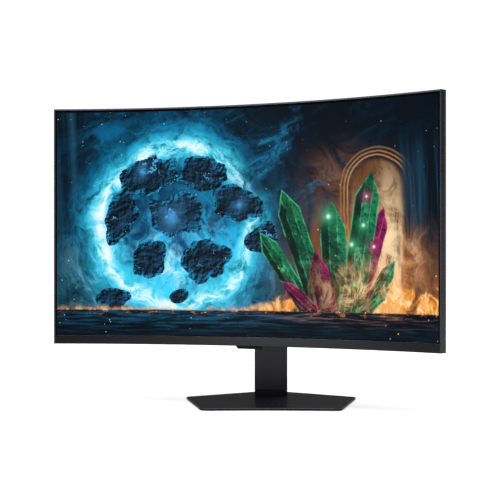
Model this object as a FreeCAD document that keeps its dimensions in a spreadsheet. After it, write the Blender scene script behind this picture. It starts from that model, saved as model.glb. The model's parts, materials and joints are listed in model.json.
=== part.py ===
"""Curved 31.5-inch desktop monitor on a height-adjustable stand.

Units are millimetres. +Z is up and the stand faces -Y. The origin lies on the
swivel axis, at the height of the desk. Everything from the swivel head to the
screen is drawn facing straight forward and then turned about Z to its rest
position, because the display stands swivelled on its column.
"""
import FreeCAD, Part
import math
import os

import Sketcher

# name, value, meaning
DIMENSIONS = [
    ("curve_radius", 1000.0, "radius of the curved screen"),
    ("half_arc", 353.65, "half of the display's width, measured along the curve"),
    ("axis_to_screen", 105.0, "swivel axis to the glass at the middle of the screen"),
    ("panel_bottom", 101.5, "desk to the display's lower edge"),
    ("panel_height", 413.6, "height of the display"),
    ("rest_swivel", -20.4, "angle at which the display stands, in degrees"),
    ("lip_width", 2.6, "wall of the middle frame, seen from the front"),
    ("lip_proud", 1.0, "how far the middle frame stands in front of the glass"),
    ("chin_height", 15.0, "height of the lower trim"),
    ("chin_thick", 2.0, "thickness of the lower trim"),
    ("parting_depth", 7.0, "glass to the joint between middle frame and rear cover"),
    ("edge_depth", 13.0, "glass to the back of the cover's thin border"),
    ("cover_wall", 2.4, "wall thickness of the rear cover"),
    ("glass_thick", 1.4, "thickness of the liquid crystal cell"),
    ("sheet_inset", 5.8, "outer edge of the display to the edge of the light guide"),
    ("housing_back", -46.0, "y of the back face of the electronics housing"),
    ("housing_front", -112.0, "y at which the housing's sloping sides start"),
    ("housing_half_width", 175.0, "half width of the housing's back face"),
    ("housing_half_height", 100.0, "half height of the housing's back face"),
    ("housing_flare", 38.0, "how much wider each side is where the slope starts"),
    ("recess_half_width", 150.0, "half width of the connector recess"),
    ("recess_depth", 24.0, "depth of the connector recess"),
    ("recess_top", 70.0, "tilt axis to the ceiling of the connector recess"),
    ("vesa_pitch", 100.0, "spacing of the wall mount's threaded holes"),
    ("vesa_hole_radius", 1.65, "tapped hole for an M4 screw"),
    ("standoff_radius", 4.2, "outside of the wall mount's standoffs"),
    ("cover_screw_radius", 1.25, "screws that hold the rear cover"),
    ("cover_screw_head_radius", 3.2, "heads of the rear cover's screws"),
    ("cover_screw_head_thick", 1.4, "thickness of those heads"),
    ("bracket_pitch", 75.0, "spacing of the screws that hold the tilt bracket"),
    ("tilt_axis_y", -27.0, "y of the tilt hinge"),
    ("tilt_pin_radius", 4.0, "radius of the tilt hinge's pin"),
    ("swivel_pin_radius", 6.0, "radius of the swivel's pin"),
    ("running_gap", 0.05, "radial clearance of a running fit"),
    ("boss_radius", 13.5, "outside of the arm's boss"),
    ("boss_half_height", 20.0, "half height of the arm's boss"),
    ("bush_radius", 7.5, "outside of the swivel's bush"),
    ("yoke_half_width", 15.0, "half width of the swivel yoke"),
    ("yoke_plate", 5.3, "thickness of the swivel yoke's plates"),
    ("knuckle_radius", 8.0, "outside of the tilt hinge's knuckle and ears"),
    ("knuckle_half_width", 17.0, "half width of the tilt hinge's knuckle"),
    ("bracket_plate", 4.0, "thickness of the tilt bracket's plate"),
    ("bracket_screw_radius", 1.6, "screws that hold the tilt bracket"),
    ("base_bottom", 1.2, "height of the rubber feet"),
    ("base_thick", 3.0, "thickness of the base plate"),
    ("base_front", 176.0, "swivel axis to the middle of the base's front edge"),
    ("base_front_half_width", 115.5, "half width of the base's front edge"),
    ("base_tip_half_width", 152.5, "half width of the base at its widest"),
    ("base_tip_y", 6.0, "y of the base's widest point"),
    ("base_rear", 98.0, "swivel axis to the rear end of the base"),
    ("base_rear_half_width", 29.0, "half width of the base's rear end"),
    ("base_front_corner", 14.0, "corner radius at the ends of the base's front edge"),
    ("base_tip_corner", 14.0, "corner radius at the base's tips"),
    ("base_rear_corner", 6.0, "corner radius at the base's rear end"),
    ("base_chamfer", 0.6, "chamfer round the top of the base"),
    ("base_screw_radius", 2.5, "screws from the base into the column's foot"),
    ("base_screw_head_radius", 5.3, "their flat heads"),
    ("base_screw_head_thick", 1.5, "thickness of those heads"),
    ("foot_radius", 12.0, "radius of a rubber foot"),
    ("column_front", 26.0, "swivel axis to the column's front face"),
    ("column_depth", 40.0, "depth of the column"),
    ("column_half_width", 29.75, "half width of the column"),
    ("column_top", 450.0, "height of the column's top"),
    ("collar_height", 9.0, "height of the collar at the column's foot"),
    ("skin", 2.4, "wall of the column's plastic covers"),
    ("channel_wall", 2.0, "wall of the column's steel channel"),
    ("slot_half_width", 13.5, "half width of the slot that the arm runs in"),
    ("rise", 100.0, "travel of the display above its rest height"),
    ("drop", 20.0, "travel of the display below its rest height"),
    ("spring_radius", 11.2, "outside of the coiled lift spring"),
    ("spring_axis_y", 46.0, "y of the lift spring's axle"),
    ("spring_axis_drop", 46.0, "tilt axis down to the lift spring's axle"),
    ("spring_axle_radius", 3.0, "radius of the lift spring's axle"),
    ("arm_screw_radius", 2.0, "screws from the arm into the carriage"),
    ("arm_screw_head_radius", 3.5, "heads of the arm's screws"),
    ("jog_y", -88.0, "y of the joystick's axis"),
    ("jog_cap_radius", 6.5, "radius of the joystick's cap"),
    ("jog_stem_radius", 1.8, "radius of the joystick's stem"),
    ("jog_frame_half", 7.9, "half width of the joystick's frame"),
    ("jog_pin_radius", 0.5, "pins of the joystick's two rings"),
    ("pod_half_width", 17.0, "half width of the box round the joystick"),
    ("pod_height", 26.0, "height of that box"),
    ("pod_reach", 10.0, "joystick's axis to the back of that box"),
]

doc = FreeCAD.newDocument("CurvedMonitor")
sheet = doc.addObject("Spreadsheet::Sheet", "Sizes")


class Size:
    """A number together with the spreadsheet expression that gives it."""

    def __init__(self, value, text):
        self.value = float(value)
        self.text = text

    def __add__(self, other):
        other = size(other)
        return Size(self.value + other.value, f"({self.text} + {other.text})")

    def __sub__(self, other):
        other = size(other)
        return Size(self.value - other.value, f"({self.text} - {other.text})")

    def __mul__(self, other):
        other = size(other)
        return Size(self.value * other.value, f"({self.text} * {other.text})")

    def __truediv__(self, other):
        other = size(other)
        return Size(self.value / other.value, f"({self.text} / {other.text})")

    def __neg__(self):
        return Size(-self.value, f"(0 - {self.text})")

    def __rsub__(self, other):
        return size(other) - self

    __radd__ = __add__
    __rmul__ = __mul__


def size(thing):
    """A plain number as a Size; a Size stays as it is."""
    if isinstance(thing, Size):
        return thing
    return Size(thing, f"({thing})" if thing < 0 else f"{thing}")


def sine(angle):
    """Sine of an angle in radians."""
    return Size(math.sin(angle.value), f"sin({angle.text} * 1 rad)")


def bind(thing, prop, value):
    """Drive a property from the spreadsheet."""
    thing.setExpression(prop, size(value).text)


class Sheet:
    """The spreadsheet's cells as attributes."""


d = Sheet()
for row, (alias, number, meaning) in enumerate(DIMENSIONS, start=1):
    sheet.set(f"A{row}", alias)
    sheet.set(f"B{row}", str(number))
    sheet.set(f"C{row}", meaning)
    sheet.setAlias(f"B{row}", alias)
    setattr(d, alias, Size(number, f"Sizes.{alias}"))
doc.recompute()

# places that several pieces share
centre_z = d.panel_bottom + d.panel_height / 2
panel_top = d.panel_bottom + d.panel_height
base_top = d.base_bottom + d.base_thick
foot_height = 6
column_back = d.column_front + d.column_depth
channel_outside = d.column_half_width - 2.75
channel_inside = channel_outside - 0.2
channel_back = column_back - 2.6
housing_back = d.housing_back
housing_inside = d.housing_back - d.cover_wall
recess_ceiling = centre_z - d.recess_top
chin_back = d.chin_thick - d.lip_proud
board_bottom = recess_ceiling + 4
spring_z = centre_z - d.spring_axis_drop
jog_z = d.panel_bottom + 6

# x and y of the base's screws and feet, x and z (from the tilt axis) of the others
BASE_SCREW_PLACES = [(x, y) for x in (-16.0, 16.0) for y in (37.0, 55.0)]
FOOT_PLACES = [(0, 0), (-98, -158), (98, -158), (-128, 4), (128, 4), (0, 82)]
ARM_SCREW_PLACES = [(x, z) for x in (-6.0, 6.0) for z in (-14.0, 14.0)]
COVER_SCREW_PLACES = [(x, z) for x in (-155.0, 155.0) for z in (-52.0, 80.0)]
# low x and high x of each socket, and the y of the faces it lies between
VIDEO_SOCKETS = [(-136.0, -121.0), (-117.0, -102.0), (-98.0, -82.0)]
AUDIO_SOCKET = (-77.0, -70.0)
POWER_SOCKET = (84.0, 95.0)
BOARD_BACK = -60.4
SOCKET_BACK = -54.4
POWER_SOCKET_BACK = -51.4
TIMING_BACK = -95.6
VENT_WIDTH = 3.0
VENT_PITCH = 8.0
VENT_COUNT = 33
JOG_PIN_GAP = 0.1
SIDES = (-1, 1)
# two vertices nearer than this belong to the same corner
CLOSE = 0.5

DISPLAY_TURN = FreeCAD.Placement(
    FreeCAD.Vector(0, 0, 0), FreeCAD.Rotation(FreeCAD.Vector(0, 0, 1), d.rest_swivel.value)
)
STAND = FreeCAD.Placement()
AXIS_TURN = {
    "X": FreeCAD.Rotation(FreeCAD.Vector(0, 1, 0), 90),
    "Y": FreeCAD.Rotation(FreeCAD.Vector(1, 0, 0), -90),
    "Z": FreeCAD.Rotation(),
}
nodes = []


# ---------------------------------------------------------------- solid helpers


def move_to(thing, x, y, z):
    for letter, value in zip("xyz", (x, y, z)):
        bind(thing, f"Placement.Base.{letter}", value)


def box(x, y, z):
    """A box between the two limits given for each axis."""
    thing = doc.addObject("Part::Box", "Block")
    for prop, (low, high) in zip(("Length", "Width", "Height"), (x, y, z)):
        bind(thing, prop, size(high) - low)
    move_to(thing, x[0], y[0], z[0])
    return thing


def rod(axis, start, radius, length):
    """A cylinder that runs from start along +axis."""
    thing = doc.addObject("Part::Cylinder", "Rod")
    bind(thing, "Radius", radius)
    bind(thing, "Height", length)
    thing.Placement = FreeCAD.Placement(FreeCAD.Vector(), AXIS_TURN[axis])
    move_to(thing, *start)
    return thing


def fuse(*things):
    """Several solids as one object; separate ones stay separate solids in it."""
    if len(things) == 1:
        return things[0]
    thing = doc.addObject("Part::MultiFuse", "Joined")
    thing.Shapes = list(things)
    return thing


def cut(base, *tools):
    thing = doc.addObject("Part::Cut", "Machined")
    thing.Base = base
    thing.Tool = fuse(*tools)
    return thing


def mirrored(side, near, far):
    """The limits in x of a piece between near and far, on the given side."""
    return (near, far) if side > 0 else (-far, -near)


def ring(axis, start, outer, inner, length):
    """A washer or bush."""
    return cut(rod(axis, start, outer, length), rod(axis, start, inner, length))


def node(label, thing, placement):
    """Name a finished piece and put it in its place.

    A lone box or cylinder already has a place of its own, so it goes into a compound.
    """
    if thing.TypeId in ("Part::Box", "Part::Cylinder"):
        primitive = thing
        thing = doc.addObject("Part::Compound", "Piece")
        thing.Links = [primitive]
    thing.Label = label
    thing.Placement = placement
    nodes.append(thing)
    return thing


# --------------------------------------------------------------- sketch helpers


def new_body(name):
    return doc.addObject("PartDesign::Body", name)


def new_sketch(body, plane, level):
    """A sketch parallel to one of the body's planes: XY at z, or XZ at y."""
    sketch = body.newObject("Sketcher::SketchObject", "Outline")
    origin_plane = [f for f in body.Origin.OriginFeatures if f.Role == plane + "_Plane"][0]
    sketch.AttachmentSupport = [(origin_plane, "")]
    sketch.MapMode = "FlatFace"
    bind(sketch, "AttachmentOffset.Base.z", level if plane == "XY" else -size(level))
    return sketch


def pin_point(sketch, geometry, point, x=None, y=None):
    """Hold a sketch point at coordinates taken from the spreadsheet."""
    for kind, value in (("DistanceX", x), ("DistanceY", y)):
        if value is not None:
            value = size(value)
            index = sketch.addConstraint(
                Sketcher.Constraint(kind, -1, 1, geometry, point, value.value)
            )
            bind(sketch, f"Constraints[{index}]", value)


def close_loop(sketch, count):
    for index in range(count):
        following = (index + 1) % count
        sketch.addConstraint(Sketcher.Constraint("Coincident", index, 2, following, 1))


def polygon(sketch, corners):
    """A closed outline of straight edges through the corners."""
    points = [FreeCAD.Vector(size(x).value, size(y).value, 0) for x, y in corners]
    for index, start in enumerate(points):
        end = points[(index + 1) % len(points)]
        sketch.addGeometry(Part.LineSegment(start, end), False)
    close_loop(sketch, len(points))
    for index, (x, y) in enumerate(corners):
        pin_point(sketch, index, 1, x, y)


def rectangle(sketch, x, y):
    polygon(sketch, [(x[0], y[0]), (x[1], y[0]), (x[1], y[1]), (x[0], y[1])])


def sector(sketch, front, back, half_arc):
    """A strip of the curved display: two arcs about the screen's centre of curvature.

    front and back are depths behind the glass; half_arc is measured on the glass.
    """
    centre_y = -(d.axis_to_screen + d.curve_radius)
    angle = half_arc / d.curve_radius
    reach = sine(angle)
    centre = FreeCAD.Vector(0, centre_y.value, 0)
    upright = FreeCAD.Vector(0, 0, 1)
    first, last = math.pi / 2 - angle.value, math.pi / 2 + angle.value
    corners = []
    for depth in (front, back):
        radius = d.curve_radius + depth
        circle = Part.Circle(centre, upright, radius.value)
        arc = sketch.addGeometry(Part.ArcOfCircle(circle, first, last), False)
        corners.append((arc, radius))
        index = sketch.addConstraint(Sketcher.Constraint("Radius", arc, radius.value))
        bind(sketch, f"Constraints[{index}]", radius)
    (inner, inner_radius), (outer, outer_radius) = corners
    pin_point(sketch, inner, 3, 0, centre_y)
    sketch.addConstraint(Sketcher.Constraint("Coincident", inner, 3, outer, 3))
    for end, side in ((1, 1), (2, -1)):
        end_angle = first if side == 1 else last
        direction = FreeCAD.Vector(math.cos(end_angle), math.sin(end_angle), 0)
        start = centre + direction * inner_radius.value
        stop = centre + direction * outer_radius.value
        edge = sketch.addGeometry(Part.LineSegment(start, stop), False)
        sketch.addConstraint(Sketcher.Constraint("Coincident", edge, 1, inner, end))
        sketch.addConstraint(Sketcher.Constraint("Coincident", edge, 2, outer, end))
        pin_point(sketch, inner, end, x=reach * inner_radius * side)
        pin_point(sketch, outer, end, x=reach * outer_radius * side)


def grow(body, sketch, length, towards_minus_normal=False):
    pad = body.newObject("PartDesign::Pad", "Pad")
    pad.Profile = sketch
    pad.Reversed = towards_minus_normal
    bind(pad, "Length", length)
    return pad


def carve(body, sketch, length, along_normal):
    """A pocket that must remove material."""
    doc.recompute()
    before = body.Shape.Volume
    pocket = body.newObject("PartDesign::Pocket", "Pocket")
    pocket.Profile = sketch
    pocket.Reversed = along_normal
    bind(pocket, "Length", length)
    doc.recompute()
    if body.Shape.Volume >= before:
        raise RuntimeError(f"{body.Name}: a pocket removed nothing")
    return pocket


def grow_sector(body, depths, half_arc, z):
    sketch = new_sketch(body, "XY", z[0])
    sector(sketch, *depths, half_arc)
    return grow(body, sketch, size(z[1]) - z[0])


def carve_sector(body, depths, half_arc, z):
    sketch = new_sketch(body, "XY", z[0])
    sector(sketch, *depths, half_arc)
    return carve(body, sketch, size(z[1]) - z[0], along_normal=True)


def grow_block(body, x, y, z):
    """A block drawn on the XZ plane and grown backwards, towards +Y."""
    sketch = new_sketch(body, "XZ", y[0])
    rectangle(sketch, x, z)
    return grow(body, sketch, size(y[1]) - y[0], towards_minus_normal=True)


def carve_block(body, x, y, z):
    sketch = new_sketch(body, "XZ", y[0])
    rectangle(sketch, x, z)
    return carve(body, sketch, size(y[1]) - y[0], along_normal=False)


def circles(sketch, places, radius):
    """A circle at each place, its centre and radius taken from the spreadsheet."""
    radius = size(radius)
    for x, y in places:
        centre = FreeCAD.Vector(size(x).value, size(y).value, 0)
        circle = Part.Circle(centre, FreeCAD.Vector(0, 0, 1), radius.value)
        index = sketch.addGeometry(circle, False)
        pin_point(sketch, index, 3, x, y)
        limit = sketch.addConstraint(Sketcher.Constraint("Radius", index, radius.value))
        bind(sketch, f"Constraints[{limit}]", radius)


def carve_round_holes(body, places, radius, y):
    """Round holes along Y."""
    sketch = new_sketch(body, "XZ", y[0])
    circles(sketch, places, radius)
    carve(body, sketch, size(y[1]) - y[0], along_normal=False)


def four_corners(half_x, half_z):
    return [(sx * half_x, centre_z + sz * half_z) for sx in (-1, 1) for sz in (-1, 1)]


def curved_layer(label, depths, half_arc, z):
    """One layer of the display, such as the glass or the light guide."""
    body = new_body(label)
    grow_sector(body, depths, half_arc, z)
    return node(label, body, DISPLAY_TURN)


# ------------------------------------------------------------------------ stand


def edge_names(feature, wanted):
    """Names of the feature's edges for which wanted(edge) holds."""
    edges = enumerate(feature.Shape.Edges, start=1)
    return [f"Edge{index}" for index, edge in edges if wanted(edge)]


def round_upright_edges(body, feature, radius, y):
    """Round the pair of upright edges that stand at the given y."""

    def wanted(edge):
        ends = edge.Vertexes
        upright = len(ends) == 2 and abs(ends[0].Z - ends[1].Z) > CLOSE
        return upright and abs(ends[0].Y - y.value) < CLOSE

    fillet = body.newObject("PartDesign::Fillet", "Corner")
    fillet.Base = (feature, edge_names(feature, wanted))
    bind(fillet, "Radius", radius)
    doc.recompute()
    return fillet


def base_outline(sketch):
    """Straight sides and rear, and a front edge hollowed by one arc.

    The arc has the screen's radius. Gives the y of the front edge's two ends.
    """
    sag = d.base_front_half_width * d.base_front_half_width / (2 * d.curve_radius)
    front_y = -(d.base_front + sag)
    corners = [
        (d.base_front_half_width, front_y),
        (d.base_tip_half_width, d.base_tip_y),
        (d.base_rear_half_width, d.base_rear),
        (-d.base_rear_half_width, d.base_rear),
        (-d.base_tip_half_width, d.base_tip_y),
        (-d.base_front_half_width, front_y),
    ]
    points = [FreeCAD.Vector(x.value, y.value, 0) for x, y in corners]
    for start, end in zip(points, points[1:]):
        sketch.addGeometry(Part.LineSegment(start, end), False)
    front_edge = len(points) - 1
    last_side = front_edge - 1
    centre = FreeCAD.Vector(0, -(d.base_front + d.curve_radius).value, 0)
    circle = Part.Circle(centre, FreeCAD.Vector(0, 0, 1), d.curve_radius.value)
    half_angle = math.asin(d.base_front_half_width.value / d.curve_radius.value)
    first, last = math.pi / 2 - half_angle, math.pi / 2 + half_angle
    sketch.addGeometry(Part.ArcOfCircle(circle, first, last), False)
    for index in range(last_side):
        sketch.addConstraint(Sketcher.Constraint("Coincident", index, 2, index + 1, 1))
    sketch.addConstraint(Sketcher.Constraint("Coincident", last_side, 2, front_edge, 2))
    sketch.addConstraint(Sketcher.Constraint("Coincident", front_edge, 1, 0, 1))
    for index in range(front_edge):
        pin_point(sketch, index, 1, *corners[index])
    pin_point(sketch, front_edge, 2, *corners[-1])
    radius = Sketcher.Constraint("Radius", front_edge, d.curve_radius.value)
    bind(sketch, f"Constraints[{sketch.addConstraint(radius)}]", d.curve_radius)
    return front_y


def base_plate():
    """Steel plate with a hollow front edge, wide tips and a narrow rear end."""
    body = new_body("base_plate")
    sketch = new_sketch(body, "XY", d.base_bottom)
    front_y = base_outline(sketch)
    feature = grow(body, sketch, d.base_thick)
    doc.recompute()
    feature = round_upright_edges(body, feature, d.base_front_corner, front_y)
    feature = round_upright_edges(body, feature, d.base_tip_corner, d.base_tip_y)
    feature = round_upright_edges(body, feature, d.base_rear_corner, d.base_rear)

    def on_top(edge):
        return all(abs(vertex.Z - base_top.value) < CLOSE for vertex in edge.Vertexes)

    chamfer = body.newObject("PartDesign::Chamfer", "TopEdge")
    chamfer.Base = (feature, edge_names(feature, on_top))
    bind(chamfer, "Size", d.base_chamfer)
    for radius, depth in (
        (d.base_screw_radius + 0.7, d.base_thick),
        (d.base_screw_head_radius + 0.3, d.base_screw_head_thick + 0.1),
    ):
        holes = new_sketch(body, "XY", d.base_bottom)
        circles(holes, BASE_SCREW_PLACES, radius)
        carve(body, holes, depth, along_normal=True)
    node("base_plate", body, STAND)


def stand_feet():
    feet = [rod("Z", (x, y, 0), d.foot_radius, d.base_bottom) for x, y in FOOT_PLACES]
    node("rubber_feet", fuse(*feet), STAND)


def base_screws():
    """Flat-headed screws that come up through the base into the column's foot."""
    screws = []
    for x, y in BASE_SCREW_PLACES:
        start = (x, y, d.base_bottom + 0.1)
        head = rod("Z", start, d.base_screw_head_radius, d.base_screw_head_thick)
        screws.append(fuse(head, rod("Z", start, d.base_screw_radius, 8)))
    node("base_screws", fuse(*screws), STAND)


def column_foot():
    """Steel block that fills the column's lower end and takes the base's screws."""
    y = (d.column_front + 4, column_back - 4)
    block = box((-channel_inside, channel_inside), y, (base_top, base_top + foot_height))
    hole_radius = d.base_screw_radius + 0.1
    holes = [rod("Z", (x, y, base_top), hole_radius, foot_height) for x, y in BASE_SCREW_PLACES]
    node("column_foot", cut(block, *holes), STAND)


def column_collar():
    """Narrow dark collar between the base and the column's covers."""
    shadow_gap = 0.3
    half = d.column_half_width - shadow_gap
    wall = 2.1
    z = (base_top, base_top + d.collar_height)
    y = (d.column_front + shadow_gap, column_back - shadow_gap)
    outer = box((-half, half), y, z)
    inner = box((wall - half, half - wall), (y[0] + 3.1, y[1] - wall), z)
    node("column_collar", cut(outer, inner), STAND)


def column_channel():
    """Steel channel, open to the front, that carries the display's weight."""
    z = (base_top + foot_height + 0.1, d.column_top - 4)
    front = d.column_front + 3.8
    outer = box((-channel_outside, channel_outside), (front, channel_back), z)
    inside = channel_outside - d.channel_wall
    inner = box((-inside, inside), (front, channel_back - d.channel_wall), z)
    node("column_channel", cut(outer, inner), STAND)


def column_covers():
    """Front cover with the arm's slot, rear cover, and the cap that closes the top."""
    half = d.column_half_width
    cap_thick = 3.8
    z = (base_top + d.collar_height + 0.2, d.column_top - cap_thick - 0.2)
    front_y = (d.column_front, d.column_front + 3.4)
    slot_margin = d.boss_half_height + 4
    slot_z = (centre_z - d.drop - slot_margin, centre_z + d.rise + slot_margin)
    slot = box((-d.slot_half_width, d.slot_half_width), front_y, slot_z)
    node("column_front_cover", cut(box((-half, half), front_y, z), slot), STAND)
    rear_y = (front_y[1] + 0.2, column_back)
    rear = box((-half, half), rear_y, z)
    hollow = box((-half + d.skin, half - d.skin), (rear_y[0], column_back - d.skin), z)
    node("column_rear_cover", cut(rear, hollow), STAND)
    cap_z = (d.column_top - cap_thick, d.column_top)
    node("column_top_cap", box((-half, half), (d.column_front, column_back), cap_z), STAND)


def guide_rails():
    """Two steel rails on the channel's side walls."""
    z = (20, d.column_top - 10)
    rails = [box(mirrored(side, 21.0, 24.9), (44, 50), z) for side in SIDES]
    node("guide_rails", fuse(*rails), STAND)


def lift_spring():
    """Constant-force spring: a coil on the carriage, its free end fixed at the top."""
    coil_half = 10
    strip_half = 9
    strip_thick = 0.4
    axle_half = 16
    strip_y = d.spring_axis_y + d.spring_radius
    strip_top = d.column_top - 12
    strip = box((-strip_half, strip_half), (strip_y, strip_y + strip_thick), (spring_z, strip_top))
    node("lift_spring_strip", strip, STAND)
    anchor_y = (strip_y + strip_thick + 0.1, channel_back - d.channel_wall)
    anchor = box((-12, 12), anchor_y, (strip_top - 14, strip_top + 1))
    node("spring_anchor", anchor, STAND)
    bore = d.spring_axle_radius + d.running_gap
    coil_start = (-coil_half, d.spring_axis_y, spring_z)
    coil = ring("X", coil_start, d.spring_radius, bore, 2 * coil_half)
    node("lift_spring_coil", coil, STAND)
    axle_start = (-axle_half, d.spring_axis_y, spring_z)
    node("spring_axle", rod("X", axle_start, d.spring_axle_radius, 2 * axle_half), STAND)


# --------------------------------------------------------------------- carriage


def carriage():
    """Block that slides in the column, with lugs below for the spring's axle."""
    front, back = 34, 56
    bottom = centre_z - 30
    block = box((-20, 20), (front, back), (bottom, centre_z + 20))
    lugs = []
    for side in SIDES:
        x = mirrored(side, 12.0, 16.0)
        lug = box(x, (40, 52), (spring_z - 7, bottom))
        eye = rod("X", (x[0], d.spring_axis_y, spring_z), d.spring_axle_radius, x[1] - x[0])
        lugs.append(cut(lug, eye))
    screw_holes = arm_screw_rods(front, d.arm_screw_radius + 0.1, 14)
    node("lift_carriage", cut(fuse(block, *lugs), *screw_holes), STAND)


def glide_pads():
    """Pads on the carriage that run on the front and back of each rail."""
    pads = []
    for side in SIDES:
        for y in ((37.0, 43.8), (50.2, 56.0)):
            for low, high in ((-28, -13), (3, 18)):
                z = (centre_z + low, centre_z + high)
                pads.append(box(mirrored(side, 20.0, 24.6), y, z))
    node("glide_pads", fuse(*pads), STAND)


def arm_screw_rods(start_y, radius, length):
    """One rod along Y at each of the arm's four screws."""
    return [rod("Y", (x, start_y, centre_z + z), radius, length) for x, z in ARM_SCREW_PLACES]


def carriage_arm():
    """Arm that reaches through the column's slot and ends in the swivel's boss."""
    low, tall = centre_z - d.boss_half_height, d.boss_half_height * 2
    web = box((-11, 11), (6, 34), (low, low + tall))
    boss = rod("Z", (0, 0, low), d.boss_radius, tall)
    bore = rod("Z", (0, 0, low), d.bush_radius, tall)
    counterbores = arm_screw_rods(14, d.arm_screw_head_radius + 0.3, 12)
    holes = arm_screw_rods(14, d.arm_screw_radius + 0.1, 20)
    node("carriage_arm", cut(fuse(web, boss), bore, *counterbores, *holes), STAND)
    bush_bore = d.swivel_pin_radius + d.running_gap
    node("swivel_bush", ring("Z", (0, 0, low), d.bush_radius, bush_bore, tall), STAND)


def arm_screws():
    head_y = 22
    heads = arm_screw_rods(head_y, d.arm_screw_head_radius, 4)
    shanks = arm_screw_rods(head_y, d.arm_screw_radius, 24)
    screws = [fuse(head, shank) for head, shank in zip(heads, shanks)]
    node("arm_screws", fuse(*screws), STAND)


# ------------------------------------------------------------------ swivel head


def swivel_yoke():
    """Fork that turns about the arm's boss and carries the tilt hinge's knuckle."""
    half = d.yoke_half_width
    gap = d.boss_half_height + 1.2
    low, high = centre_z - gap - d.yoke_plate, centre_z + gap
    wall_y = (-20, -(d.boss_radius + 1.1))
    parts = []
    for plate_z in (low, high):
        parts.append(rod("Z", (0, 0, plate_z), half, d.yoke_plate))
        parts.append(box((-half, half), (wall_y[0], 0), (plate_z, plate_z + d.yoke_plate)))
    top = high + d.yoke_plate
    parts.append(box((-half, half), wall_y, (low, top)))
    knuckle_start = (-d.knuckle_half_width, d.tilt_axis_y, centre_z)
    knuckle_length = 2 * d.knuckle_half_width
    parts.append(rod("X", knuckle_start, d.knuckle_radius, knuckle_length))
    pin_hole = rod("Z", (0, 0, low), d.swivel_pin_radius, top - low)
    knuckle_hole = rod("X", knuckle_start, d.tilt_pin_radius + d.running_gap, knuckle_length)
    node("swivel_yoke", cut(fuse(*parts), pin_hole, knuckle_hole), DISPLAY_TURN)


def swivel_hardware():
    """The swivel's pin, its nut, and the two washers beside the arm's boss."""
    fork_half = d.boss_half_height + 6.5
    head_thick = 3
    pin = rod("Z", (0, 0, centre_z - fork_half), d.swivel_pin_radius, 2 * fork_half + 6)
    head = rod("Z", (0, 0, centre_z - fork_half - head_thick), 9, head_thick)
    node("swivel_pin", fuse(pin, head), DISPLAY_TURN)
    nut_start = (0, 0, centre_z + fork_half + 0.1)
    node("swivel_nut", ring("Z", nut_start, 10, d.swivel_pin_radius, 5), DISPLAY_TURN)
    thick = 0.9
    upper = centre_z + d.boss_half_height + 0.25
    lower = centre_z - d.boss_half_height - 0.25 - thick
    bore = d.swivel_pin_radius + 0.3
    washers = [ring("Z", (0, 0, z), 12.8, bore, thick) for z in (upper, lower)]
    node("swivel_washers", fuse(*washers), DISPLAY_TURN)


# ----------------------------------------------------------------- tilt bracket


def tilt_bracket():
    """Plate screwed to the display, with two ears on the tilt hinge's pin."""
    half = d.bracket_pitch / 2 + 7.5
    back = housing_back + d.bracket_plate
    plate = box((-half, half), (housing_back, back), (centre_z - half, centre_z + half))
    ear_inside, ear_outside = 17.7, 23.0
    ears = []
    for side in SIDES:
        x = mirrored(side, ear_inside, ear_outside)
        z = (centre_z - d.knuckle_radius, centre_z + d.knuckle_radius)
        eye = rod("X", (x[0], d.tilt_axis_y, centre_z), d.knuckle_radius, x[1] - x[0])
        ears.append(fuse(box(x, (back, d.tilt_axis_y), z), eye))
    pin_start = (-ear_outside, d.tilt_axis_y, centre_z)
    pin_hole = rod("X", pin_start, d.tilt_pin_radius, 2 * ear_outside)
    corners = four_corners(d.bracket_pitch / 2, d.bracket_pitch / 2)
    hole_radius = d.bracket_screw_radius + 0.6
    holes = [rod("Y", (x, housing_back, z), hole_radius, d.bracket_plate) for x, z in corners]
    node("tilt_bracket", cut(fuse(plate, *ears), pin_hole, *holes), DISPLAY_TURN)
    reach = 9.5
    screws = []
    for x, z in corners:
        head = rod("Y", (x, back, z), 3.6, 2.4)
        shank = rod("Y", (x, back - reach, z), d.bracket_screw_radius, reach)
        screws.append(fuse(head, shank))
    node("bracket_screws", fuse(*screws), DISPLAY_TURN)


def tilt_hardware():
    """The tilt hinge's pin, its nut, and the friction washers beside the knuckle."""
    y = d.tilt_axis_y
    pin_start = (-27, y, centre_z)
    pin = rod("X", pin_start, d.tilt_pin_radius, 58)
    node("tilt_pin", fuse(pin, rod("X", pin_start, 6.5, 3.9)), DISPLAY_TURN)
    node("tilt_nut", ring("X", (23.1, y, centre_z), 7, d.tilt_pin_radius, 5), DISPLAY_TURN)
    thick = 0.5
    left, right = -17.65, 17.65 - thick
    bore = d.tilt_pin_radius + 0.2
    washers = [ring("X", (x, y, centre_z), 7.6, bore, thick) for x in (left, right)]
    node("tilt_washers", fuse(*washers), DISPLAY_TURN)


# ---------------------------------------------------------------------- display


def middle_frame():
    """Thin frame round the screen, its lower front cut back for the chin trim."""
    body = new_body("middle_frame")
    grow_sector(body, (-d.lip_proud, d.parting_depth), d.half_arc, (d.panel_bottom, panel_top))
    inside = d.half_arc - d.lip_width
    inside_z = (d.panel_bottom + d.lip_width, panel_top - d.lip_width)
    in_front = -4 * d.lip_proud
    carve_sector(body, (in_front, d.parting_depth + 3), inside, inside_z)
    rebate_z = (d.panel_bottom - 1, d.panel_bottom + d.chin_height)
    carve_sector(body, (in_front, chin_back + 0.1), inside, rebate_z)
    node("middle_frame", body, DISPLAY_TURN)


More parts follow.
